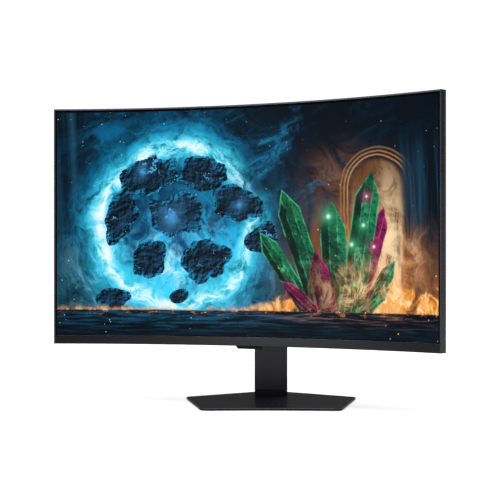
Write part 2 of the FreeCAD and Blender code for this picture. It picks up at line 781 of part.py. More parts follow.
def screen_layers():
    """The layers from the glass to the metal pan, and the chin trim below the glass."""
    chin_z = (d.panel_bottom, d.panel_bottom + d.chin_height - 0.1)
    curved_layer("chin_trim", (-d.lip_proud, chin_back), d.half_arc - d.lip_width - 0.1, chin_z)
    glass_z = (d.panel_bottom + d.chin_height + 0.1, panel_top - d.lip_width - 0.2)
    glass_arc = d.half_arc - d.lip_width - 0.3
    curved_layer("lcd_glass", (size(0), d.glass_thick), glass_arc, glass_z)
    sheet_arc = d.half_arc - d.sheet_inset
    sheet_z = (d.panel_bottom + d.chin_height - 1.5, panel_top - d.sheet_inset)
    guide_depths = (size(2.3), size(4.3))
    curved_layer("optical_sheets", (size(1.6), size(2.2)), sheet_arc, sheet_z)
    curved_layer("light_guide", guide_depths, sheet_arc, sheet_z)
    curved_layer("reflector_sheet", (size(4.4), size(4.7)), sheet_arc, sheet_z)
    bar_z = (d.panel_bottom + 8.4, d.panel_bottom + 13.2)
    curved_layer("led_bar", guide_depths, sheet_arc - 4, bar_z)
    pan_inset = d.lip_width + 0.4
    pan_z = (d.panel_bottom + pan_inset, panel_top - pan_inset)
    curved_layer("back_pan", (size(5.5), size(6.5)), d.half_arc - pan_inset, pan_z)


def panel_frame():
    """Plastic frame that holds the glass off the light guide."""
    body = new_body("panel_frame")
    outset = d.lip_width + 0.3
    outer_z = (d.panel_bottom + 4, panel_top - outset)
    grow_sector(body, (size(1.5), size(5.4)), d.half_arc - outset, outer_z)
    inset = d.sheet_inset - 0.3
    inner_z = (d.panel_bottom + 8, panel_top - inset)
    carve_sector(body, (size(-2), size(9)), d.half_arc - inset, inner_z)
    node("panel_frame", body, DISPLAY_TURN)


# ------------------------------------------------------------------- rear cover


def housing_loft(body, kind, inset, start_y, end_y):
    """The housing's sloping block, as material or as the hollow inside it."""
    slope = d.housing_flare / (d.housing_back - d.housing_front)
    sections = []
    for y in (start_y, end_y):
        flare = slope * (d.housing_back - y)
        half_x = d.housing_half_width + flare - inset
        half_z = d.housing_half_height + flare * 0.8 - inset
        sketch = new_sketch(body, "XZ", y)
        rectangle(sketch, (-half_x, half_x), (centre_z - half_z, centre_z + half_z))
        sections.append(sketch)
    loft = body.newObject(kind, "Loft")
    loft.Profile = sections[0]
    loft.Sections = sections[1:]


def recess_walls(body):
    """Front wall, ceiling and ends of the connector recess, which opens downwards."""
    front = housing_back - d.recess_depth
    half = d.recess_half_width + d.cover_wall
    wall_y = front - d.cover_wall
    top = recess_ceiling + d.cover_wall
    end_low = centre_z - d.housing_half_height + 0.1
    front_low = end_low - 11.1
    grow_block(body, (-half, half), (wall_y, housing_back), (end_low, top))
    grow_block(body, (-half, half), (wall_y, front), (front_low, top))
    below_housing = end_low - 40
    recess_x = (-d.recess_half_width, d.recess_half_width)
    carve_block(body, recess_x, (front, housing_back), (below_housing, recess_ceiling))


def hollow_border(body):
    """Take out what lies in front of the cover, and leave its border a thin shell."""
    in_front = (size(-40), d.parting_depth)
    carve_sector(body, in_front, d.half_arc + 20, (d.panel_bottom - 5, panel_top + 5))
    inside_z = (d.panel_bottom + d.cover_wall, panel_top - d.cover_wall)
    inside_depths = (d.parting_depth - 2, d.edge_depth - d.cover_wall)
    carve_sector(body, inside_depths, d.half_arc - d.cover_wall, inside_z)


def joystick_pod(body, pod_front):
    """Hollow the box round the joystick, and open its floor for the stem."""
    wall = 2
    inside_x = d.pod_half_width - wall
    inside_z = (d.panel_bottom + wall, d.panel_bottom + d.pod_height - wall)
    inside_y = (pod_front, d.jog_y + d.pod_reach - wall)
    carve_block(body, (-inside_x, inside_x), inside_y, inside_z)
    hole = new_sketch(body, "XY", d.panel_bottom)
    circles(hole, [(0, d.jog_y)], d.jog_cap_radius - 1)
    carve(body, hole, wall + 0.5, along_normal=True)


def screw_holes(body):
    """Holes for the wall mount's standoffs, the bracket's screws and the cover's own."""
    through = (housing_inside - 1, housing_back)
    vesa_half = d.vesa_pitch / 2
    bracket_half = d.bracket_pitch / 2
    cover_places = [(x, centre_z + z) for x, z in COVER_SCREW_PLACES]
    head_y = (housing_back - d.cover_screw_head_thick, housing_back)
    standoffs = four_corners(vesa_half, vesa_half)
    carve_round_holes(body, standoffs, d.standoff_radius + 0.2, through)
    bracket_places = four_corners(bracket_half, bracket_half)
    carve_round_holes(body, bracket_places, d.bracket_screw_radius + 0.8, through)
    carve_round_holes(body, cover_places, d.cover_screw_radius + 0.45, through)
    carve_round_holes(body, cover_places, d.cover_screw_head_radius + 0.4, head_y)


def socket_windows(body):
    """Openings for the sockets in the recess's ceiling."""
    gap = 0.2
    spans = [(*span, SOCKET_BACK) for span in (*VIDEO_SOCKETS, AUDIO_SOCKET)]
    spans.append((*POWER_SOCKET, POWER_SOCKET_BACK))
    windows = new_sketch(body, "XY", recess_ceiling)
    for index, (low, high, back) in enumerate(spans):
        loop_of_four(windows, 4 * index, (low - gap, high + gap), (BOARD_BACK - gap, back + gap))
    carve(body, windows, d.cover_wall, along_normal=True)


def loop_of_four(sketch, first, x, y):
    """A rectangle added to a sketch that already holds other loops."""
    corners = [(x[0], y[0]), (x[1], y[0]), (x[1], y[1]), (x[0], y[1])]
    points = [FreeCAD.Vector(u, v, 0) for u, v in corners]
    for index in range(4):
        sketch.addGeometry(Part.LineSegment(points[index], points[(index + 1) % 4]), False)
    for index in range(4):
        following = first + (index + 1) % 4
        sketch.addConstraint(Sketcher.Constraint("Coincident", first + index, 2, following, 1))
        pin_point(sketch, first + index, 1, *corners[index])


def vents(body):
    """A row of upright slots across the top of the housing's back face."""
    row_length = VENT_PITCH * (VENT_COUNT - 1)
    middle = -row_length / 2
    slot_x = (middle - VENT_WIDTH / 2, middle + VENT_WIDTH / 2)
    slot_z = (centre_z + 64, centre_z + 90)
    slot = carve_block(body, slot_x, (housing_inside - 1, housing_back), slot_z)
    pattern = body.newObject("PartDesign::LinearPattern", "Vents")
    pattern.Originals = [slot]
    x_axis = [f for f in body.Origin.OriginFeatures if f.Role == "X_Axis"][0]
    pattern.Direction = (x_axis, [""])
    pattern.Length = row_length
    pattern.Occurrences = VENT_COUNT
    body.Tip = pattern


def rear_cover():
    """Curved shell with a sloping housing, connector recess, vents and joystick pod."""
    body = new_body("rear_cover")
    grow_sector(body, (d.parting_depth, d.edge_depth), d.half_arc, (d.panel_bottom, panel_top))
    housing_loft(body, "PartDesign::AdditiveLoft", 0, d.housing_front, d.housing_back)
    pod_front = d.parting_depth - d.axis_to_screen
    pod_y = (pod_front, d.jog_y + d.pod_reach)
    pod_z = (d.panel_bottom, d.panel_bottom + d.pod_height)
    grow_block(body, (-d.pod_half_width, d.pod_half_width), pod_y, pod_z)
    hollow_front = d.housing_front - 4
    hollow = (d.cover_wall, hollow_front, housing_inside)
    housing_loft(body, "PartDesign::SubtractiveLoft", *hollow)
    recess_walls(body)
    hollow_border(body)
    joystick_pod(body, pod_front)
    screw_holes(body)
    socket_windows(body)
    vents(body)
    node("rear_cover", body, DISPLAY_TURN)


def chassis_bracket():
    """Steel hat behind the pan; its standoffs hold the wall mount's threads."""
    half = d.vesa_pitch / 2 + 12
    front, back = housing_inside - 3.6, housing_inside - 0.6
    z = (centre_z - half, centre_z + half)
    plate = box((-half, half), (front, back), z)
    leg_y = (-100.2, front)
    legs = [box((-half, 3 - half), leg_y, z), box((half - 3, half), leg_y, z)]
    length = housing_back - front
    vesa = four_corners(d.vesa_pitch / 2, d.vesa_pitch / 2)
    inner = four_corners(d.bracket_pitch / 2, d.bracket_pitch / 2)
    standoffs = [rod("Y", (x, front, z), d.standoff_radius, length) for x, z in vesa]
    holes = [rod("Y", (x, front, z), d.vesa_hole_radius, length) for x, z in vesa + inner]
    node("chassis_bracket", cut(fuse(plate, *legs, *standoffs), *holes), DISPLAY_TURN)


def cover_posts():
    """Posts on the pan, and the screws that hold the rear cover to them."""
    posts = []
    screws = []
    foot, top = -109.8, housing_inside - 0.2
    hole_depth = 12
    head_y = housing_back - d.cover_screw_head_thick
    for x, z in COVER_SCREW_PLACES:
        post = rod("Y", (x, foot, centre_z + z), 4, top - foot)
        hole_start = (x, top - hole_depth, centre_z + z)
        posts.append(cut(post, rod("Y", hole_start, d.cover_screw_radius + 0.05, hole_depth)))
        head_start = (x, head_y, centre_z + z)
        head = rod("Y", head_start, d.cover_screw_head_radius, d.cover_screw_head_thick)
        shank = rod("Y", (x, housing_back - 10, centre_z + z), d.cover_screw_radius, 10)
        screws.append(fuse(head, shank))
    node("cover_posts", fuse(*posts), DISPLAY_TURN)
    node("rear_cover_screws", fuse(*screws), DISPLAY_TURN)


# ------------------------------------------------------------------ electronics


def circuit_boards():
    """The two boards beside the steel hat, and the small one behind the panel."""
    y = (BOARD_BACK - 1.6, BOARD_BACK)
    z = (board_bottom, centre_z + 42)
    node("main_board", box((-140, -66), y, z), DISPLAY_TURN)
    node("power_board", box((66, 140), y, z), DISPLAY_TURN)
    timing = box((-48, 48), (TIMING_BACK - 1.4, TIMING_BACK), (board_bottom - 26, board_bottom))
    node("timing_board", timing, DISPLAY_TURN)


def board_parts():
    """Scaler chip with its heat sink, and the backlight driver's four inductors."""
    chip_top = BOARD_BACK + 1.2
    sink_top = chip_top + 2
    chip = box((-112, -94), (BOARD_BACK, chip_top), (centre_z - 8, centre_z + 10))
    node("scaler_chip", chip, DISPLAY_TURN)
    left, right = -118, -88
    sink_z = (centre_z - 14, centre_z + 16)
    fin_pitch, fin_thick, fin_reach = 4, 1.4, 5.8
    fins = [
        box((x, x + fin_thick), (sink_top, sink_top + fin_reach), sink_z)
        for x in range(left, right, fin_pitch)
    ]
    plate = box((left, right), (chip_top, sink_top), sink_z)
    node("heat_sink", fuse(plate, *fins), DISPLAY_TURN)
    side, tall = 16, 9
    coils = [
        box((x, x + side), (BOARD_BACK, BOARD_BACK + tall), (centre_z + z, centre_z + z + side))
        for x in (76, 112)
        for z in (-30, 10)
    ]
    node("backlight_inductors", fuse(*coils), DISPLAY_TURN)


def inner_cables():
    """Flat cables between the boards, which pass below the steel hat."""
    lead_y = (BOARD_BACK, BOARD_BACK + 0.8)
    lead = box((-69, 69), lead_y, (board_bottom, board_bottom + 3))
    node("board_lead", lead, DISPLAY_TURN)
    thick = 0.4
    left, right = -80, -36
    plane_y = TIMING_BACK + 0.8
    board_front = BOARD_BACK - 1.6
    fold_z = board_bottom + 3
    low = board_bottom - 12
    from_board = box((left, left + 13), (plane_y, board_front), (fold_z - thick, fold_z))
    across = box((left, right), (plane_y, plane_y + thick), (low, fold_z))
    plug = box((right - 11, right - 1), (TIMING_BACK, plane_y), (low, low + 10))
    node("panel_ribbon_cable", fuse(from_board, across, plug), DISPLAY_TURN)


def video_sockets():
    """Metal shells with a contact tongue, open downwards into the recess."""
    low = recess_ceiling
    wall, tall, deep = 0.6, 13, 10
    back, front = SOCKET_BACK, BOARD_BACK
    parts = []
    for left, right in VIDEO_SOCKETS:
        shell = box((left, right), (front, back), (low, low + tall))
        inside_y = (front + wall, back - wall)
        hollow = box((left + wall, right - wall), inside_y, (low, low + deep))
        tongue_x = (left + 4 * wall, right - 4 * wall)
        tongue = box(tongue_x, (front + 2.6, front + 3.4), (low + 1, low + deep))
        parts.append(fuse(cut(shell, hollow), tongue))
    node("video_sockets", fuse(*parts), DISPLAY_TURN)


def round_sockets():
    """Headphone socket and direct current inlet; the inlet has a pin in its barrel."""
    low = recess_ceiling
    deep = 11
    left, right = AUDIO_SOCKET
    middle = ((left + right) / 2, (BOARD_BACK + SOCKET_BACK) / 2, low)
    block = box((left, right), (BOARD_BACK, SOCKET_BACK), (low, low + 13))
    node("audio_socket", cut(block, rod("Z", middle, 1.8, deep)), DISPLAY_TURN)
    left, right = POWER_SOCKET
    middle = ((left + right) / 2, (BOARD_BACK + POWER_SOCKET_BACK) / 2, low)
    block = box((left, right), (BOARD_BACK, POWER_SOCKET_BACK), (low, low + 14))
    barrel = rod("Z", middle, 3.2, deep)
    node("power_inlet", fuse(cut(block, barrel), rod("Z", middle, 1.0, deep)), DISPLAY_TURN)


# --------------------------------------------------------------------- joystick


def chin_tab():
    """Shallow tab below the middle of the chin, in front of the joystick."""
    body = new_body("chin_tab")
    sketch = new_sketch(body, "XZ", -(d.axis_to_screen + d.lip_proud))
    top, bottom = d.panel_bottom - 0.1, d.panel_bottom - 5
    top_half, bottom_half = 25.5, 21.5
    outline = [(-top_half, top), (-bottom_half, bottom), (bottom_half, bottom), (top_half, top)]
    polygon(sketch, outline)
    grow(body, sketch, 6, towards_minus_normal=True)
    node("chin_tab", body, DISPLAY_TURN)


def joystick_frame():
    """Square socket that holds the outer ring's pins, and the switch board above it."""
    y = d.jog_y
    half = d.jog_frame_half
    low, high = d.panel_bottom + 3, d.panel_bottom + 12
    block = box((-half, half), (y - half, y + half), (low, high))
    pin_bore = rod("Y", (0, y - half, jog_z), d.jog_pin_radius + JOG_PIN_GAP, 2 * half)
    round_hole = rod("Z", (0, y, low), half - 0.6, high - low)
    node("jog_frame", cut(block, round_hole, pin_bore), DISPLAY_TURN)
    board_low = high + 0.1
    board = box((-13, 13), (y - half + 0.1, y + half - 0.1), (board_low, board_low + 1.2))
    node("jog_board", board, DISPLAY_TURN)
    switch_height = 0.8
    switch = rod("Z", (0, y, board_low - switch_height), 2.5, switch_height)
    node("jog_switch", switch, DISPLAY_TURN)


def joystick_rings():
    """Two rings: the outer turns on pins along Y, the inner on pins along X in it."""
    y = d.jog_y
    low, thick = jog_z - 1, 2
    outer_radius, gap_radius, inner_radius = 6.9, 5.2, 4.6
    outer_reach = d.jog_frame_half - 0.1
    outer_disc = rod("Z", (0, y, low), outer_radius, thick)
    outer_pins = rod("Y", (0, y - outer_reach, jog_z), d.jog_pin_radius, 2 * outer_reach)
    middle = rod("Z", (0, y, low), gap_radius, thick)
    bores = rod("X", (-outer_radius, y, jog_z), d.jog_pin_radius + JOG_PIN_GAP, 2 * outer_radius)
    outer = cut(fuse(outer_disc, outer_pins), middle, bores)
    node("jog_outer_gimbal", outer, DISPLAY_TURN)
    inner_reach = outer_radius - 0.7
    inner_disc = rod("Z", (0, y, low), inner_radius, thick)
    inner_pins = rod("X", (-inner_reach, y, jog_z), d.jog_pin_radius, 2 * inner_reach)
    stem_hole = rod("Z", (0, y, low), d.jog_stem_radius + d.running_gap, thick)
    node("jog_inner_gimbal", cut(fuse(inner_disc, inner_pins), stem_hole), DISPLAY_TURN)


def joystick_cap():
    """Cap below the display and the stem that reaches up to the switch."""
    bottom = d.panel_bottom
    cap = rod("Z", (0, d.jog_y, bottom - 6), d.jog_cap_radius, 4)
    stem = rod("Z", (0, d.jog_y, bottom - 3), d.jog_stem_radius, 13.2)
    node("jog_cap", fuse(cap, stem), DISPLAY_TURN)


# ------------------------------------------------------------------------ build


def check_and_write():
    """Stop on any failed object, then write one file per piece."""
    for thing in doc.Objects:
        if "Invalid" in thing.State or "Error" in thing.State:
            raise RuntimeError(f"{thing.Label} failed: {thing.State}")
    for thing in nodes:
        if thing.Shape.isNull() or not thing.Shape.isValid():
            raise RuntimeError(f"{thing.Label} has no valid shape")
    os.makedirs("parts", exist_ok=True)
    for thing in nodes:
        thing.Shape.exportStep(f"parts/{thing.Label}.step")


for make in (
    base_plate,
    stand_feet,
    base_screws,
    column_foot,
    column_collar,
    column_channel,
    column_covers,
    guide_rails,
    lift_spring,
    carriage,
    glide_pads,
    carriage_arm,
    arm_screws,
    swivel_yoke,
    swivel_hardware,
    tilt_bracket,
    tilt_hardware,
    middle_frame,
    screen_layers,
    panel_frame,
    rear_cover,
    chassis_bracket,
    cover_posts,
    circuit_boards,
    board_parts,
    inner_cables,
    video_sockets,
    round_sockets,
    chin_tab,
    joystick_frame,
    joystick_rings,
    joystick_cap,
):
    make()
doc.recompute()
check_and_write()
print(len(nodes), "pieces")
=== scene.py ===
import json
import math

import bmesh
import bpy
from mathutils import Matrix, Vector

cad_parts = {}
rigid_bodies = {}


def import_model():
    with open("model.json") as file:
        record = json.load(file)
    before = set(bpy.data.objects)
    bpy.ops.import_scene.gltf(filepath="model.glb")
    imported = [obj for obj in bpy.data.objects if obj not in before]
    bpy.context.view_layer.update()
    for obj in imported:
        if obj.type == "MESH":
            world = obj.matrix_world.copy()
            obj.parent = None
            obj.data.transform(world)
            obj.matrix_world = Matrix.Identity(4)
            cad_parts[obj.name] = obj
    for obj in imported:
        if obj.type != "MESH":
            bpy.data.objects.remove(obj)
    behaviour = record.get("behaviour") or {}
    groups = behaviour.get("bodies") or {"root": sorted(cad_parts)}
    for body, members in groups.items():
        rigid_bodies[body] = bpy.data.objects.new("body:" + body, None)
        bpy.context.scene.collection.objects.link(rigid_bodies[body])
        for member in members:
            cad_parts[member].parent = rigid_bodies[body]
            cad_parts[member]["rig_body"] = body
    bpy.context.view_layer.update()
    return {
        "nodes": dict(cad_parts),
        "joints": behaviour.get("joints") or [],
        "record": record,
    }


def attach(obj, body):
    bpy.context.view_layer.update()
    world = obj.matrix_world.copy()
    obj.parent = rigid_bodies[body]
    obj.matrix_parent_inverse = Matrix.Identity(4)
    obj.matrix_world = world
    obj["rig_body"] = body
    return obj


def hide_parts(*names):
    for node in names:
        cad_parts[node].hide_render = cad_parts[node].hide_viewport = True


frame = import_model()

# ------------------------------------------------------------------- the frame
# The display stands swivelled. Its tilt axis runs along its own -X, which gives the turn.
JOINTS = {joint["name"]: joint for joint in frame["joints"]}
tilt_axis = Vector(JOINTS["tilt"]["axis"])
DISPLAY_ANGLE = math.atan2(-tilt_axis.y, -tilt_axis.x)
DISPLAY_TURN = Matrix.Rotation(DISPLAY_ANGLE, 4, "Z")

# The screen's curve, in metres
CURVE_RADIUS = 1.0
AXIS_TO_SCREEN = 0.105
PICTURE_HALF_ARC = 0.3480
PICTURE_HEIGHT = 0.3915
PICTURE_LIFT = 0.0005
LIP_DEPTH = -0.0004
LIP_HEIGHT = 0.003
GLASS_THICK = 0.0014
SCREEN_STEPS = 96
SCREEN_SPECULAR = 0.02
CURVE_CENTRE_Y = -(AXIS_TO_SCREEN + CURVE_RADIUS)


def display_box(node):
    """A node's box in the display's own frame, where the screen faces -Y."""
    back = DISPLAY_TURN.inverted()
    points = [back @ vertex.co for vertex in frame["nodes"][node].data.vertices]
    low = Vector([min(p[axis] for p in points) for axis in range(3)])
    high = Vector([max(p[axis] for p in points) for axis in range(3)])
    return low, high


def on_curve(arc, depth, z):
    """A point of the display: arc along the glass, depth behind it."""
    angle = arc / CURVE_RADIUS
    radius = CURVE_RADIUS + depth
    local = Vector((radius * math.sin(angle), CURVE_CENTRE_Y + radius * math.cos(angle), z))
    return DISPLAY_TURN @ local


# ------------------------------------------------------------- camera and light
CAMERA_DISTANCE = 2.235
CAMERA_HEIGHT = 0.238
CAMERA_TURN = math.radians(0.98)
CAMERA_LENS = 90.0
CAMERA_SHIFT_X = 0.0008
CAMERA_SHIFT_Y = 0.0326
SKY_HORIZON = 0.045
SKY_OVERHEAD = 3.1
BACKDROP = 1.05
FLOOR_RADIUS = 40
FLOOR_GLOW = 0.12

# name, place, point it faces, width, height, watts
LIGHTS = [
    ("overhead", (-0.6, -0.6, 3.0), (0, 0, 0.2), 2.6, 2.0, 30),
    ("front_left", (-2.0, -2.05, 0.30), (0, 0, 0.2), 0.9, 0.5, 18),
    ("behind", (0.8, 2.4, 2.6), (0, 0, 0.3), 2.2, 1.4, 16),
]


def make_camera():
    data = bpy.data.cameras.new("camera")
    data.sensor_width = 36
    data.lens = CAMERA_LENS
    data.shift_x = CAMERA_SHIFT_X
    data.shift_y = CAMERA_SHIFT_Y
    data.clip_end = 100
    camera = bpy.data.objects.new("camera", data)
    camera.location = (0, -CAMERA_DISTANCE, CAMERA_HEIGHT)
    camera.rotation_euler = (math.radians(90), 0, CAMERA_TURN)
    bpy.context.scene.collection.objects.link(camera)
    bpy.context.scene.camera = camera


def make_light(name, place, target, width, height, watts):
    data = bpy.data.lights.new(name, "AREA")
    data.shape = "RECTANGLE"
    data.size, data.size_y = width, height
    data.energy = watts
    light = bpy.data.objects.new(name, data)
    light.location = place
    light.rotation_euler = (Vector(target) - Vector(place)).to_track_quat("-Z", "Y").to_euler()
    bpy.context.scene.collection.objects.link(light)


def make_floor():
    """A plain white floor; a faint glow of its own softens the shadow on it."""
    mesh = bpy.data.meshes.new("floor")
    disc = bmesh.new()
    bmesh.ops.create_circle(disc, cap_ends=True, segments=64, radius=FLOOR_RADIUS)
    disc.to_mesh(mesh)
    disc.free()
    floor = bpy.data.objects.new("floor", mesh)
    bpy.context.scene.collection.objects.link(floor)
    material, shader = new_material("floor_paint")
    shader.inputs["Base Color"].default_value = (0.97, 0.97, 0.97, 1)
    shader.inputs["Roughness"].default_value = 0.8
    shader.inputs["Specular IOR Level"].default_value = 0.1
    shader.inputs["Emission Color"].default_value = (1.0, 1.0, 1.0, 1)
    shader.inputs["Emission Strength"].default_value = FLOOR_GLOW
    mesh.materials.append(material)


def make_sky():
    """A white studio that is dark near the horizon and bright overhead.

    The camera sees plain white, so only the object's reflections show the difference.
    """
    world = bpy.data.worlds.new("studio")
    world.use_nodes = True
    tree = world.node_tree
    split = tree.nodes.new("ShaderNodeSeparateXYZ")
    tree.links.new(tree.nodes.new("ShaderNodeTexCoord").outputs["Generated"], split.inputs[0])
    height = Field(tree, split.outputs["Z"]).most(0.0)
    sky = height.power(4) * SKY_OVERHEAD + SKY_HORIZON
    camera_ray = Field(tree, tree.nodes.new("ShaderNodeLightPath").outputs["Is Camera Ray"])
    strength = sky + (BACKDROP - sky) * camera_ray
    tree.links.new(strength.socket, tree.nodes["Background"].inputs["Strength"])
    tree.nodes["Background"].inputs["Color"].default_value = (1.0, 1.0, 1.0, 1)
    bpy.context.scene.world = world
    bpy.context.scene.view_settings.view_transform = "Standard"


def make_room():
    make_floor()
    make_sky()
    for light in LIGHTS:
        make_light(*light)


# -------------------------------------------------------------- material helpers


def new_material(name):
    material = bpy.data.materials.new(name)
    material.use_nodes = True
    return material, material.node_tree.nodes["Principled BSDF"]


class Field:
    """A value inside a node tree; arithmetic on it adds Math nodes."""

    def __init__(self, tree, socket):
        self.tree = tree
        self.socket = socket

    def math(self, operation, *others):
        node = self.tree.nodes.new("ShaderNodeMath")
        node.operation = operation
        for index, value in enumerate((self, *others)):
            if isinstance(value, Field):
                self.tree.links.new(value.socket, node.inputs[index])
            else:
                node.inputs[index].default_value = value
        return Field(self.tree, node.outputs[0])

    def __add__(self, other):
        return self.math("ADD", other)

    def __sub__(self, other):
        return self.math("SUBTRACT", other)

    def __mul__(self, other):
        return self.math("MULTIPLY", other)

    def __truediv__(self, other):
        return self.math("DIVIDE", other)

    def __rsub__(self, other):
        return (self * -1) + other

    def power(self, exponent):
        return self.math("POWER", exponent)

    def absolute(self):
        return self.math("ABSOLUTE")

    def least(self, other):
        return self.math("MINIMUM", other)

    def most(self, other):
        return self.math("MAXIMUM", other)

    def bell(self, width):
        """1 where the value is zero, falling smoothly to 0 over the width."""
        scaled = self / width
        return (scaled * scaled * -1).math("EXPONENT")

    def fade(self, width):
        """1 where the value is zero, falling exponentially."""
        return (self.absolute() / -width).math("EXPONENT")

    def rise(self, low, high):
        """A smooth step from 0 at low to 1 at high."""
        node = self.tree.nodes.new("ShaderNodeMapRange")
        node.interpolation_type = "SMOOTHSTEP"
        node.inputs["From Min"].default_value = low
        node.inputs["From Max"].default_value = high
        self.tree.links.new(self.socket, node.inputs["Value"])
        return Field(self.tree, node.outputs["Result"])

    def fall(self, low, high):
        """A smooth step from 1 at low to 0 at high."""
        return 1 - self.rise(low, high)


def vector_of(tree, x, y, z=0.0):
    node = tree.nodes.new("ShaderNodeCombineXYZ")
    for index, value in enumerate((x, y, z)):
        if isinstance(value, Field):
            tree.links.new(value.socket, node.inputs[index])
        else:
            node.inputs[index].default_value = value
    return node.outputs[0]


def noise(tree, place, scale, detail=3.0, roughness=0.55, distortion=0.0):
    node = tree.nodes.new("ShaderNodeTexNoise")
    node.inputs["Scale"].default_value = scale
    node.inputs["Detail"].default_value = detail
    node.inputs["Roughness"].default_value = roughness
    node.inputs["Distortion"].default_value = distortion
    tree.links.new(place, node.inputs["Vector"])
    return Field(tree, node.outputs[0])


def cells(tree, place, scale, feature="F1"):
    node = tree.nodes.new("ShaderNodeTexVoronoi")
    node.feature = feature
    node.inputs["Scale"].default_value = scale
    tree.links.new(place, node.inputs["Vector"])
    return node


def object_place(tree):
    return tree.nodes.new("ShaderNodeTexCoord").outputs["Object"]


def blend_colours(tree, amount, low, high):
    """low where amount is 0 and high where it is 1; either may be a socket."""
    node = tree.nodes.new("ShaderNodeMix")
    node.data_type = "RGBA"
    tree.links.new(amount.socket, node.inputs["Factor"])
    for name, colour in (("A", low), ("B", high)):
        socket = [s for s in node.inputs if s.name == name and s.type == "RGBA"][0]
        if isinstance(colour, tuple):
            socket.default_value = (*colour, 1)
        else:
            tree.links.new(colour, socket)
    return [s for s in node.outputs if s.type == "RGBA"][0]


def add_bump(tree, shader, height, distance):
    node = tree.nodes.new("ShaderNodeBump")
    node.inputs["Distance"].default_value = distance
    tree.links.new(height.socket, node.inputs["Height"])
    tree.links.new(node.outputs[0], shader.inputs["Normal"])


def plastic(name, dark, light, roughness, grain_scale, grain_height, specular=0.5):
    """Moulded plastic: fine grain in the surface, slightly uneven colour and gloss."""
    material, shader = new_material(name)
    tree = material.node_tree
    place = object_place(tree)
    cloud = noise(tree, place, 9, 4)
    grain = noise(tree, place, grain_scale, 2, 0.6)
    amount = (cloud * 0.6 + grain * 0.4).rise(0.35, 0.65)
    tree.links.new(blend_colours(tree, amount, dark, light), shader.inputs["Base Color"])
    gloss = (cloud * 0.08 + grain * 0.06) + (roughness - 0.07)
    tree.links.new(gloss.socket, shader.inputs["Roughness"])
    shader.inputs["Specular IOR Level"].default_value = specular
    add_bump(tree, shader, grain, grain_height)
    return material


def metal(name, dark, light, roughness, stretch=(1.0, 1.0, 1.0), scale=500.0):
    """Metal with fine lines; stretch draws the lines out along an axis."""
    material, shader = new_material(name)
    tree = material.node_tree
    mapping = tree.nodes.new("ShaderNodeMapping")
    mapping.inputs["Scale"].default_value = stretch
    tree.links.new(object_place(tree), mapping.inputs["Vector"])
    lines = noise(tree, mapping.outputs[0], scale, 3)
    smear = noise(tree, object_place(tree), 30, 4)
    tree.links.new(blend_colours(tree, smear.rise(0.3, 0.7), dark, light), shader.inputs["Base Color"])
    gloss = lines * 0.16 + smear * 0.1 + (roughness - 0.13)
    tree.links.new(gloss.socket, shader.inputs["Roughness"])
    shader.inputs["Metallic"].default_value = 1.0
    add_bump(tree, shader, lines, 0.00002)
    return material


def rubber(name):
    material, shader = new_material(name)
    tree = material.node_tree
    place = object_place(tree)
    dust = noise(tree, place, 60, 5)
    colour = blend_colours(tree, dust.rise(0.45, 0.8), (0.018, 0.018, 0.018), (0.06, 0.058, 0.055))
    tree.links.new(colour, shader.inputs["Base Color"])
    tree.links.new((dust * 0.2 + 0.65).socket, shader.inputs["Roughness"])
    add_bump(tree, shader, noise(tree, place, 900, 2), 0.00005)
    return material


def circuit_board(name):
    """Green solder mask with tracks as thin raised lines."""
    material, shader = new_material(name)
    tree = material.node_tree
    tracks = cells(tree, object_place(tree), 260, "DISTANCE_TO_EDGE")
    line = Field(tree, tracks.outputs[0]).fall(0.02, 0.08)
    colour = blend_colours(tree, line, (0.004, 0.05, 0.022), (0.02, 0.13, 0.05))
    tree.links.new(colour, shader.inputs["Base Color"])
    tree.links.new((line * 0.15 + 0.3).socket, shader.inputs["Roughness"])
    add_bump(tree, shader, line, 0.00003)
    return material


def film(name, colour, transmission):
    """Clear or white optical film."""
    material, shader = new_material(name)
    tree = material.node_tree
    haze = noise(tree, object_place(tree), 40, 3)
    darker = tuple(channel * 0.93 for channel in colour)
    tree.links.new(blend_colours(tree, haze, darker, colour), shader.inputs["Base Color"])
    tree.links.new((haze * 0.1 + 0.2).socket, shader.inputs["Roughness"])
    shader.inputs["Transmission Weight"].default_value = transmission
    return material


# ------------------------------------------------------------------ the picture
# A made-up view, in picture heights from the middle of the screen: x right, y up.
GROUND_Y = -0.385
RING_X, RING_Y, RING_RADIUS = -0.335, -0.015, 0.350
ARCH_X, ARCH_HALF, ARCH_SPRING = 0.60, 0.125, 0.13

# middle, half width and half height, lean in degrees
BOULDERS = [
    ((-0.47, 0.21), (0.15, 0.09), 16),
    ((-0.21, 0.22), (0.13, 0.09), -14),
    ((-0.60, 0.03), (0.08, 0.13), -14),
    ((-0.34, 0.04), (0.15, 0.11), 6),
    ((-0.06, 0.09), (0.14, 0.09), -24),
    ((0.06, -0.07), (0.09, 0.07), 28),
    ((-0.46, -0.16), (0.085, 0.095), -30),
    ((-0.21, -0.16), (0.13, 0.10), 24),
    ((-0.64, -0.33), (0.10, 0.05), 6),
    ((-0.33, -0.32), (0.06, 0.035), 10),
]
# foot, lean in degrees, length, half width, family
CRYSTALS = [
    ((0.55, -0.37), -34, 0.25, 0.034, "green"),
    ((0.27, -0.37), 34, 0.40, 0.042, "green"),
    ((0.50, -0.38), -17, 0.46, 0.044, "rose"),
    ((0.34, -0.38), 20, 0.56, 0.055, "green"),
    ((0.48, -0.38), -9, 0.60, 0.060, "green"),
    ((0.30, -0.38), 50, 0.20, 0.030, "rose"),
    ((0.41, -0.38), 3, 0.47, 0.062, "green"),
    ((0.54, -0.38), -50, 0.16, 0.028, "green"),
    ((0.37, -0.39), 14, 0.28, 0.048, "rose"),
    ((0.46, -0.39), -14, 0.26, 0.045, "green"),
]
